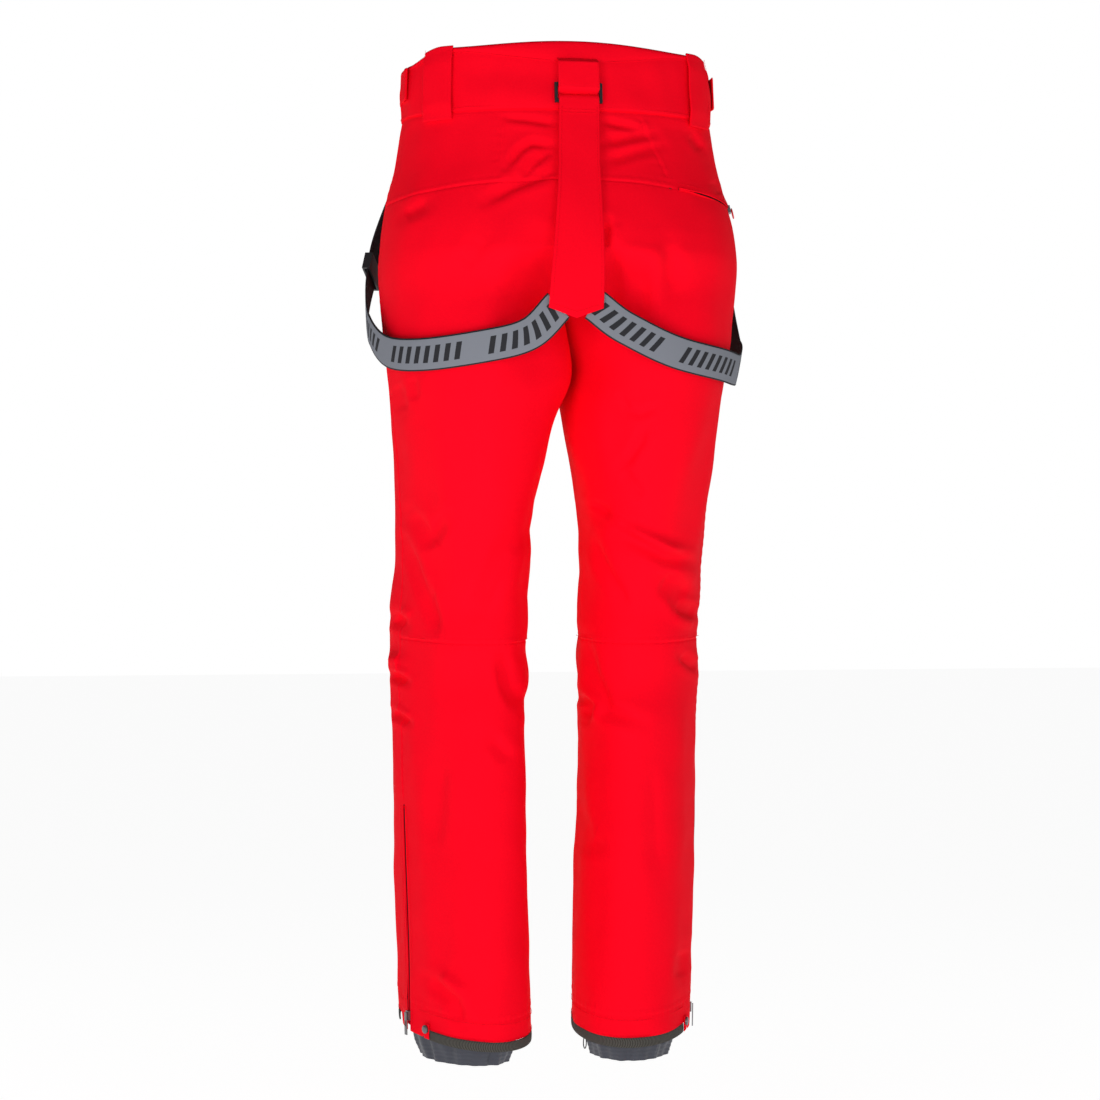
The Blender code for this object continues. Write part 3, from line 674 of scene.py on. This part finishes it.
for tag, side in SIDES:
    made = panel("belt_loop_" + tag, side, (0.262, 0.352),
                 (lambda u: top_edge(u) + 0.0012, -0.0815), (40, 60),
                 loop_off(0.0034, 0.0026, 0.25), shell_cloth, trunk, 0.0020)
    placed(made, "trousers", "belt_loop_" + tag, slot="red_shell")
    for k, edge in enumerate((0.2645, 0.3495)):
        down = np.linspace(-0.006, -0.079, 60)
        height = 0.0036 + 0.0026 * smooth(np.minimum((down + 0.003) / -0.0785,
                                                     1 - (down + 0.003) / -0.0785) / 0.25)
        places, outs = line_on(trunk, side, edge, down, height)
        placed(stitches(f"belt_loop_stitches_{tag}_{k}", places, outs, thread), "trousers")
    made = panel("waist_tab_" + tag, side, (0.432, 0.590), (-0.020, -0.054), (60, 20),
                 lambda s, t: 0.0028 + 0.0030 * smooth((0.35 - s) / 0.35) + 0.0004 * edges(s, t),
                 shell_cloth, trunk, 0.0016)
    placed(made, "waist_tab_" + tag, "waist_tab_" + tag, slot="red_shell")
    for k, height in enumerate((-0.0225, -0.0515)):
        s = np.linspace(0.02, 0.98, 60)
        places, outs = line_on(trunk, side, 0.432 + 0.158 * s, height,
                               0.0030 + 0.0030 * smooth((0.35 - s) / 0.35))
        placed(stitches(f"waist_tab_stitches_{tag}_{k}", places, outs, thread), "waist_tab_" + tag)


# ---------------------------------------------------------------- ring, hanger loop and back tab

made = panel("hanger_loop", 1.0, (-0.034, 0.034), (-0.019, -0.0575), (40, 44),
             lambda s, t: 0.0028 + 0.0076 * smooth(np.minimum(t, 1 - t) / 0.15)
             + 0.0005 * np.sin(s * 6 + 1) * np.sin(np.pi * t) - 0.0010 * (t - 0.5) ** 2,
             shell_cloth, trunk, 0.0016)
placed(made, "trousers", "hanger_loop", slot="red_shell")
for k, edge in enumerate((-0.031, 0.031)):
    t = np.linspace(0.04, 0.96, 40)
    places, outs = line_on(trunk, 1.0, edge, -0.019 - 0.0385 * t,
                           0.0030 + 0.0076 * smooth(np.minimum(t, 1 - t) / 0.15))
    placed(stitches(f"hanger_loop_stitches_{k}", places, outs, thread), "trousers")
places, outs = line_on(trunk, 1.0, np.linspace(-0.032, 0.032, 40), -0.0205, 0.0050)
placed(stitches("hanger_loop_stitches_top", places, outs, thread), "trousers")


def tab_path():
    """The middle line of the tab: folded round the ring, then hanging down the seat."""
    fold = ((-0.0700, 0.0017), (-0.0620, 0.0017), (-0.0594, 0.0028), (-0.0586, 0.0047),
            (-0.0594, 0.0066), (-0.0620, 0.0078), (-0.0700, 0.0080))
    places = [at(trunk, 1.0, 0.0, z, off) for z, off in fold]
    for z in np.linspace(-0.0775, -0.279, 40):
        p = at(trunk, 1.0, 0.0, z, 0.0078)
        p[0] = TAB_LEAN * (z + 0.070) / 0.209
        places.append(p)
    return np.array(places)


TAB_LEAN = 0.010
middle = tab_path()
steps = np.linalg.norm(np.diff(middle, axis=0), axis=1)
run = np.concatenate(([0], np.cumsum(steps)))
fine = np.linspace(0, run[-1], 150)
middle = np.stack([np.interp(fine, run, middle[:, c]) for c in range(3)], -1)
drop = np.maximum(0, -0.059 - middle[:, 2])
half_wide = np.interp(drop, (0, 0.07, 0.13, 0.19, 0.222), (0.042, 0.043, 0.049, 0.056, 0.057)) / 2
across = np.linspace(-1, 1, 33)
points = middle[:, None, :] + np.zeros((1, 33, 1))
points[..., 0] += half_wide[:, None] * across
tip = smooth((-0.262 - points[..., 2]) / 0.017)
points[..., 2] -= tip * 0.0105 * (1 - np.abs(across)[None, :])
curl = 0.0010 * (1 - across**2)[None, :] + 0.0005 * np.sin(points[..., 2] * 60 + across * 1.5)
points[..., 1] -= curl * smooth((fine[:, None] - 0.03) / 0.05)
tab = grid("back_tab", points, None, shell_cloth, 0.0014)
tab.modifiers["thick"].offset = 0.0
placed(tab, "back_tab", "back_tab", slot="red_shell")
front_from = int(np.searchsorted(fine, 0.026))
for k, edge in enumerate((2, 30)):
    places = points[front_from:-6, edge] + (0, -0.0010, 0)
    outs = np.tile((0.0, -1.0, 0.0), (len(places), 1))
    placed(stitches(f"tab_stitches_{k}", places, outs, thread, 0.0034), "back_tab")
row = int(np.argmin(np.abs(points[front_from:, 16, 2] + 0.0735))) + front_from
for k in (0, 2):
    places = points[row + k, 2:31] + (0, -0.0010, 0)
    placed(stitches(f"tab_fold_stitches_{k}", places, np.tile((0.0, -1.0, 0.0), (29, 1)), thread),
           "back_tab")
places = points[-4, 2:31] + (0, -0.0010, 0)
placed(stitches("tab_point_stitches", places, np.tile((0.0, -1.0, 0.0), (29, 1)), thread), "back_tab")


# ---------------------------------------------------------------- braces

BRACES = {
    "right": ((0.006, -0.275, 0.0035), (0.050, -0.298, 0.0052), (0.15, -0.321, 0.0065),
              (0.30, -0.331, 0.0070), (0.42, -0.332, 0.0085), (0.50, -0.314, 0.0130),
              (0.56, -0.280, 0.0118), (0.60, -0.235, 0.0104), (0.64, -0.180, 0.0112),
              (0.70, -0.120, 0.0110), (0.74, -0.076, 0.0072)),
    "left": ((0.028, -0.277, 0.0035), (0.070, -0.305, 0.0052), (0.15, -0.317, 0.0065),
             (0.28, -0.324, 0.0070), (0.40, -0.320, 0.0085), (0.47, -0.303, 0.0115),
             (0.535, -0.275, 0.0110), (0.60, -0.235, 0.0100), (0.66, -0.190, 0.0118),
             (0.70, -0.140, 0.0120), (0.74, -0.076, 0.0072)),
}
STRAP_WIDE = 0.034


def through(knots, many):
    """A smooth curve through knots, each used as given, as many + 1 rows."""
    data = np.array(knots)
    place = np.linspace(0, len(data) - 1, many + 1)
    k = np.minimum(place.astype(int), len(data) - 2)
    f = (place - k)[:, None]
    before, after = data[np.maximum(k - 1, 0)], data[np.minimum(k + 2, len(data) - 1)]
    m0, m1 = (data[k + 1] - before) / 2, (after - data[k]) / 2
    return ((2 * f**3 - 3 * f**2 + 1) * data[k] + (f**3 - 2 * f**2 + f) * m0
            + (3 * f**2 - 2 * f**3) * data[k + 1] + (f**3 - f**2) * m1)


def webbing():
    """Grey elastic webbing with black edges and a plain pattern of slanted bars, in its own metres."""
    made = material("webbing", (0.185, 0.195, 0.225), 0.75, 0.2)
    shader = made.node_tree.nodes["Principled BSDF"]
    place = node(made, "ShaderNodeUVMap", uv_map="cloth")
    split = node(made, "ShaderNodeSeparateXYZ")
    link(made, place.outputs["UV"], split.inputs[0])

    def maths(operation, a, b):
        step = node(made, "ShaderNodeMath", operation=operation)
        for socket, v in zip(step.inputs, (a, b)):
            if isinstance(v, (int, float)):
                socket.default_value = v
            else:
                link(made, v, socket)
        return step.outputs[0]

    run_along, over = split.outputs[1], split.outputs[0]
    from_middle = maths("ABSOLUTE", maths("SUBTRACT", over, STRAP_WIDE / 2), 0)
    black_edge = maths("GREATER_THAN", from_middle, STRAP_WIDE / 2 - 0.0016)
    slant = maths("ADD", run_along, maths("MULTIPLY", over, 0.35))
    bar = maths("LESS_THAN", maths("FRACT", maths("DIVIDE", slant, 0.0120), 0), 0.50)
    group = maths("LESS_THAN", maths("FRACT", maths("DIVIDE", slant, 0.120), 0), 0.75)
    inside = maths("LESS_THAN", from_middle, 0.0088)
    marks = maths("MULTIPLY", maths("MULTIPLY", bar, group), inside)
    dark = maths("MAXIMUM", marks, black_edge)
    mix = node(made, "ShaderNodeMix", data_type="RGBA")
    mix.inputs[MIX_A].default_value = (0.185, 0.195, 0.225, 1)
    mix.inputs[MIX_B].default_value = (0.018, 0.018, 0.022, 1)
    link(made, dark, mix.inputs[0])
    link(made, mix.outputs[MIX_OUT], shader.inputs["Base Color"])
    ribs = node(made, "ShaderNodeTexWave", Scale=0.314 / 0.0011, Distortion=0.3)
    ribs.bands_direction = "Y"
    link(made, place.outputs["UV"], ribs.inputs["Vector"])
    bump = node(made, "ShaderNodeBump", Strength=0.6, Distance=0.0002)
    link(made, ribs.outputs["Fac"], bump.inputs["Height"])
    link(made, bump.outputs["Normal"], shader.inputs["Normal"])
    return made


webbing_cloth = webbing()
black_webbing = woven(material("black_webbing", (0.016, 0.016, 0.018), 0.8, 0.2), 0.0012)


def brace_frame(side, many=220):
    """Middle points, outward and across directions along a brace."""
    u, z, off = through(BRACES["right" if side > 0 else "left"], many).T
    middle = at(trunk, side, u, z, off)
    out = normals(trunk, u, z) * (side, 1, 1)
    tangent = np.gradient(middle, axis=0)
    tangent /= np.linalg.norm(tangent, axis=1, keepdims=True)
    across = np.cross(tangent, out)
    across /= np.linalg.norm(across, axis=1, keepdims=True)
    out = np.cross(across, tangent)
    return middle, out, across


def brace(tag, side):
    middle, out, across = brace_frame(side)
    run = np.concatenate(([0], np.cumsum(np.linalg.norm(np.diff(middle, axis=0), axis=1))))
    s = np.linspace(-0.5, 0.5, 15)
    cup = 0.0006 * (1 - (2 * s) ** 2)
    for layer, lift, finish in (("face", 0.0004, webbing_cloth), ("lining", -0.0004, black_webbing)):
        points = (middle[:, None] + across[:, None] * (s * STRAP_WIDE)[None, :, None]
                  + out[:, None] * (lift + cup)[None, :, None])
        uv = np.stack((np.broadcast_to((s + 0.5) * STRAP_WIDE, (len(run), 15)),
                       np.broadcast_to(run[:, None], (len(run), 15))), -1)
        strap = grid(f"brace_{layer}_{tag}", points, uv, finish, 0.0007)
        if side > 0:
            flip(strap)
        solid = strap.modifiers["thick"]
        solid.offset = 0.0
        bpy.context.view_layer.update()
        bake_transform(strap)
        if layer == "face":
            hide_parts("brace_" + tag)


for tag, side in SIDES:
    brace(tag, side)


# ---------------------------------------------------------------- zips and pullers

def teeth_row(name, places, across, out, finish, pitch=0.0014, size=(0.0022, 0.0009, 0.0008)):
    """Coil teeth: small bars lying across a line of points."""
    steps = np.linalg.norm(np.diff(places, axis=0), axis=1)
    run = np.concatenate(([0], np.cumsum(steps)))
    many = int(run[-1] / pitch)
    verts, faces = [], []
    corners = np.array([(a, b, c) for a in (-0.5, 0.5) for b in (-0.5, 0.5) for c in (-0.5, 0.5)])
    for k in range(many):
        s = (k + 0.5) * pitch
        p = np.array([np.interp(s, run, places[:, c]) for c in range(3)])
        a = np.array([np.interp(s, run, across[:, c]) for c in range(3)])
        o = np.array([np.interp(s, run, out[:, c]) for c in range(3)])
        a, o = a / np.linalg.norm(a), o / np.linalg.norm(o)
        along = np.cross(a, o)
        first = len(verts)
        for corner in corners * size:
            verts.append(tuple(p + a * corner[0] + along * corner[1] + o * corner[2]))
        for face in ((0, 1, 3, 2), (4, 6, 7, 5), (0, 4, 5, 1), (2, 3, 7, 6), (0, 2, 6, 4), (1, 5, 7, 3)):
            faces.append(tuple(first + f for f in face))
    mesh = bpy.data.meshes.new(name)
    mesh.from_pydata(verts, [], faces)
    mesh.materials.append(finish)
    thing = bpy.data.objects.new(name, mesh)
    bpy.context.scene.collection.objects.link(thing)
    return thing


def rounded_cad(name, finish, width=0.0004):
    """Shows a CAD node itself, with its edges rounded and its real finish."""
    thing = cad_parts[name]
    thing.data.materials.clear()
    thing.data.materials.append(finish)
    bevel = thing.modifiers.new("rounded", "BEVEL")
    bevel.width = width
    bevel.segments = 3
    bevel.limit_method = "ANGLE"
    for face in thing.data.polygons:
        face.use_smooth = True
    thing.modifiers.new("normals", "WEIGHTED_NORMAL")
    return thing


def welt(name, places, radius, finish=shell_cloth):
    return tube(name, [tuple(p) for p in places], radius, finish)


# The rear pocket's zip, in its folded mouth.
u = np.linspace(0.185, 0.447, 90)
line = yoke_line(u)
made = panel("rear_zip", 1.0, (0.158, 0.461),
             (lambda v: yoke_line(v) + 0.0105, lambda v: yoke_line(v) - 0.0105),
             (80, 10), -0.0019, zip_cloth, base, 0.0008)
placed(made, "trousers", "rear_zip", slot="tape")
places, outs = line_on(base, 1.0, u, line, -0.0013)
ahead = np.gradient(places, axis=0)
upward = np.cross(ahead, outs)
placed(teeth_row("rear_zip_teeth", places, upward, outs, tooth, 0.0012, (0.0024, 0.0008, 0.0008)),
       "trousers")
for name, lift, where in (("upper", 1.0, 0.0013), ("lower", -1.0, 0.0004)):
    edge, _ = line_on(base, 1.0, u, line + lift * (slot_half(u) + 0.0006), where - 0.0006)
    placed(welt("rear_welt_" + name, edge, 0.0008), "trousers")
edge, outs = line_on(base, 1.0, u, line + 0.0062, 0.0010)
placed(stitches("rear_welt_stitches", edge, outs, thread), "trousers")
made = panel("rear_pocket_bag", 1.0, (0.17, 0.44), (-0.180, -0.274), (20, 12),
             -0.0076, inner_cloth, base)
placed(made, "trousers", "rear_pocket_bag", slot="inner_fabric")
rounded_cad("rear_slider", gunmetal, 0.0008)

low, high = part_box("rear_puller")
centre = np.array((low + high) / 2)
outs = np.array(normals(base, 0.44, yoke_line(0.44)))
side_way = np.cross(outs, (0, 0, 1))
side_way /= np.linalg.norm(side_way)
turn = np.linspace(0, 2 * math.pi, 33)[:-1]
upward = np.cross(side_way, outs)
ring = [tuple(centre + side_way * 0.0031 * math.cos(t) + upward * 0.0052 * math.sin(t)) for t in turn]
made = placed(tube("rear_puller", ring, 0.0007, red_plastic, True), "rear_puller", "rear_puller",
              slot="red_shell")

# The hem zips.
for tag, side in SIDES:
    z = np.linspace(ZIP_TOP - 0.004, HEM + 0.006, 200)
    made = panel("hem_zip_" + tag, side, (0.4785, 0.5215), (ZIP_TOP + 0.010, HEM + 0.004), (16, 80),
                 -0.0020, zip_cloth, leg, 0.0008)
    placed(made, "shin_" + tag, "hem_zip_" + tag, slot="tape")
    places, outs = line_on(leg, side, 0.5, z, -0.0014)
    level = np.cross(outs, (0, 0, 1.0))
    placed(teeth_row("hem_teeth_" + tag, places, level, outs, tooth, 0.0013, (0.0036, 0.0009, 0.0009)),
           "shin_" + tag)
    for k, where in enumerate((-1, 1)):
        open_by = SLOT_U * smooth((ZIP_TOP - z) / 0.008) + 0.0006
        edge, outs = line_on(leg, side, 0.5 + where * open_by, z, -0.0003)
        placed(welt(f"hem_slot_edge_{tag}_{k}", edge, 0.0007), "shin_" + tag)
        edge, outs = line_on(leg, side, 0.5 + where * (open_by + 0.0085), z, 0.0006)
        placed(stitches(f"hem_slot_stitches_{tag}_{k}", edge, outs, thread), "shin_" + tag)
    rounded_cad("hem_slider_" + tag, gunmetal, 0.0008)
    rounded_cad("hem_puller_" + tag, gunmetal, 0.0004)

# The zips at the front.
for tag, side in SIDES:
    made = panel("hand_zip_" + tag, side, (0.686, 0.714), (-0.148, -0.248), (12, 40), 0.0013, zip_cloth,
                 base, 0.0008)
    placed(made, "trousers", "hand_zip_" + tag, slot="tape")
    z = np.linspace(-0.150, -0.246, 70)
    places, outs = line_on(base, side, 0.700, z, 0.0017)
    level = np.cross(outs, (0, 0, 1.0))
    placed(teeth_row("hand_teeth_" + tag, places, level, outs, tooth, 0.0013, (0.0030, 0.0009, 0.0007)),
           "trousers")
    for k, where in enumerate((0.6905, 0.7095)):
        edge, _ = line_on(base, side, where, z, 0.0015)
        placed(welt(f"hand_edge_{tag}_{k}", edge, 0.0012), "trousers")
        edge, outs = line_on(base, side, where + (0.012 if k else -0.012), z, 0.0012)
        placed(stitches(f"hand_stitches_{tag}_{k}", edge, outs, thread), "trousers")
    rounded_cad("hand_slider_" + tag, gunmetal, 0.0008)
    rounded_cad("hand_puller_" + tag, gunmetal, 0.0004)
    rounded_cad("brace_clip_" + tag, plastic, 0.0006)
    rounded_cad("brace_adjuster_" + tag, plastic, 0.0006)
for name in ("fly_slider", "fly_puller"):
    rounded_cad(name, gunmetal, 0.0006)
rounded_cad("fly_zip", zip_cloth, 0.0002)
rounded_cad("flap_cap", gunmetal, 0.0006)
rounded_cad("flap_stud", gunmetal, 0.0004)
rounded_cad("back_ring", plastic, 0.0010)
for tag, side in SIDES:
    made = panel("lining_" + tag, side, (0.04, 0.96), (-0.078, -0.494), (110, 110),
                 lambda s, t: -0.0100 - 0.0055 * (1 - smooth(np.minimum(s, 1 - s) / 0.15)), inner_cloth,
                 base, 0.0008)
    placed(made, "trousers", "lining_" + tag, slot="inner_fabric")
made = panel("waist_flap", 1.0, (0.968, 1.052), (-0.012, -0.060), (40, 30),
             lambda s, t: 0.0028 + 0.0020 * smooth(s / 0.3) + 0.0004 * edges(s, t), shell_cloth,
             trunk, 0.0016)
placed(made, "waist_flap", "waist_flap", slot="red_shell")
for k, height in enumerate((-0.0145, -0.0575)):
    s = np.linspace(0.03, 0.97, 40)
    places, outs = line_on(trunk, 1.0, 0.968 + 0.084 * s, height, 0.0030 + 0.0020 * smooth(s / 0.3))
    placed(stitches(f"waist_flap_stitches_{k}", places, outs, thread), "waist_flap")


# ---------------------------------------------------------------- hems and gaiters

def gaiter(u, z):
    """The inner gaiter: hung inside the leg, drawn in and gathered by its elastic edge."""
    u, z = np.broadcast_arrays(np.asarray(u, float), np.asarray(z, float))
    wide, deep = rows(GAITER, z)
    across, forward, _, _, turn_deg = rows(LEG, np.maximum(z, -1.0595))
    turn = 2 * math.pi * u
    gather = 0.0018 * smooth((-1.00 - z) / 0.05)
    folds = 0.75 * np.cos(13 * turn + 28 * z) + 0.50 * np.cos(22 * turn + 1.1 - 46 * z)
    crumple = waves(np.stack((u * 0.45, z * 1.6, u * 0.2), -1), 16, 0.035, 31) * smooth((-1.03 - z) / 0.02)
    fold = gather * np.clip(folds, -1.2, 1.0) + 0.0007 * crumple
    elastic = 0.0002 * np.cos(2 * math.pi * (z + 1.072) / 0.0045) * smooth((-1.054 - z) / 0.003)
    x = -(wide + fold + elastic) * np.cos(turn)
    y = -(deep + fold + elastic) * np.sin(turn)
    cos, sin = np.cos(-np.radians(turn_deg)), np.sin(-np.radians(turn_deg))
    return np.stack((across + x * cos - y * sin, forward + x * sin + y * cos, z), -1)


for tag, side in SIDES:
    cells = ((520, 90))
    made = panel("gaiter_" + tag, side, (0.0, 1.0), (-0.980, -1.072), cells, -0.0006, gaiter_cloth,
                 gaiter, 0.0009)
    placed(made, "shin_" + tag, "gaiter_" + tag, slot="gaiter_fabric")
    made = panel("hem_tape_" + tag, side, (0.5665, 1.4335), (HEM + HEM_TAPE, HEM), (260, 8),
                 lambda s, t: 0.0004 + 0.0003 * np.sin(np.pi * t), tape_cloth, leg, 0.0014)
    placed(made, "shin_" + tag, "hem_tape_" + tag, slot="tape")
    u = np.linspace(0.57, 1.43, 220)
    places, outs = line_on(leg, side, u, HEM + HEM_TAPE + 0.0012, 0.0006)
    placed(stitches("hem_tape_stitches_" + tag, places, outs, thread), "shin_" + tag)
    places, outs = line_on(leg, side, np.linspace(-0.47, 0.47, 240), HEM + 0.028, 0.0006)
    placed(stitches("hem_stitches_" + tag, places, outs, thread), "shin_" + tag)
    made = panel("snap_tab_" + tag, side, (0.432, 0.446), (HEM + 0.017, HEM + 0.001), (12, 20),
                 lambda s, t: 0.0020 + 0.0004 * edges(s, t), shell_cloth, leg, 0.0012)
    placed(made, "snap_tab_" + tag, "snap_tab_" + tag, slot="webbing")
    rounded_cad("snap_cap_" + tag, gunmetal, 0.0006)

# A fine drawcord loop at the right gaiter's inner side.
turn = np.linspace(0, 2 * math.pi, 40)
here = at(gaiter, 1.0, 0.06, -1.058, 0.0030)
loop = [tuple(here + (0.0016 * math.cos(t), -0.0010, 0.0062 * math.sin(t))) for t in turn[:-1]]
placed(tube("gaiter_cord", loop, 0.0006, dark_thread, True), "shin_right")


# ---------------------------------------------------------------- topstitching on the shell

for tag, side in SIDES:
    start, end = (side * 0.099, 0.042, -0.500), (side * 0.099, 0.042, -0.700)
    u = np.linspace(0.02, 0.48, 240)
    z = KNEE_SEAM - 0.004 * np.sin(2 * math.pi * u) + 0.0022
    places, outs = line_on(leg, side, u, z, 0.0012)
    made = stitches("knee_stitches_" + tag, places, outs, thread)
    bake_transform(made)


# ---------------------------------------------------------------- floor, light and camera

def area(name, place, aim, size, power):
    light = bpy.data.lights.new(name, "AREA")
    light.shape = "RECTANGLE"
    light.size, light.size_y = size
    light.energy = power
    thing = bpy.data.objects.new(name, light)
    thing.location = place
    thing.rotation_euler = (Vector(aim) - Vector(place)).to_track_quat("-Z", "Y").to_euler()
    bpy.context.scene.collection.objects.link(thing)


LOOK = np.array((-math.sin(YAW), math.cos(YAW), 0.0))
RIGHT = np.array((math.cos(YAW), math.sin(YAW), 0.0))
CENTRE_Z, DISTANCE = -0.526, 3.1
heart = np.array((0, 0, CENTRE_Z))

bpy.ops.mesh.primitive_plane_add(size=30, location=(0, 0, -1.30))
floor = bpy.context.object
floor.name = "floor"
pale = material("pale_floor", (0.45, 0.45, 0.45), 0.95, 0.0)
pale.node_tree.nodes["Principled BSDF"].inputs["Emission Color"].default_value = (1, 1, 1, 1)
pale.node_tree.nodes["Principled BSDF"].inputs["Emission Strength"].default_value = 0.86
floor.data.materials.append(pale)

LAMPS = (("key", -1.15, -0.15, (0.7, 1.5), 19.5), ("fill", 1.35, -0.25, (0.8, 1.5), 9.5),
         ("front", 0.15, 0.05, (1.6, 1.6), 10))
for name, sideways, up, size, power in LAMPS:
    area(name, heart - LOOK * 2.3 + RIGHT * sideways + (0, 0, up), heart, size, power)
for name, sideways, power in (("left_rim", -2.2, 3), ("right_rim", 2.2, 3)):
    area(name, heart + LOOK * 1.6 + RIGHT * sideways + (0, 0, 0.4), heart, (1.5, 2.2), power)

world = bpy.data.worlds.new("studio")
bpy.context.scene.world = world
world.use_nodes = True
tree = world.node_tree
tree.nodes.clear()
rays = tree.nodes.new("ShaderNodeLightPath")
lit = tree.nodes.new("ShaderNodeBackground")
lit.inputs[1].default_value = 0.22
shown = tree.nodes.new("ShaderNodeBackground")
shown.inputs[0].default_value = (1, 1, 1, 1)
lit.inputs[0].default_value = (1, 1, 1, 1)
both = tree.nodes.new("ShaderNodeMixShader")
output = tree.nodes.new("ShaderNodeOutputWorld")
tree.links.new(rays.outputs["Is Camera Ray"], both.inputs[0])
tree.links.new(lit.outputs[0], both.inputs[1])
tree.links.new(shown.outputs[0], both.inputs[2])
tree.links.new(both.outputs[0], output.inputs[0])

camera = bpy.data.objects.new("camera", bpy.data.cameras.new("camera"))
bpy.context.scene.collection.objects.link(camera)
camera.location = heart - LOOK * DISTANCE - RIGHT * 0.0064
camera.rotation_euler = Vector(LOOK).to_track_quat("-Z", "Y").to_euler()
camera.data.lens = 94.8
camera.data.sensor_width = 36
bpy.context.scene.camera = camera
bpy.context.scene.view_settings.view_transform = "Standard"
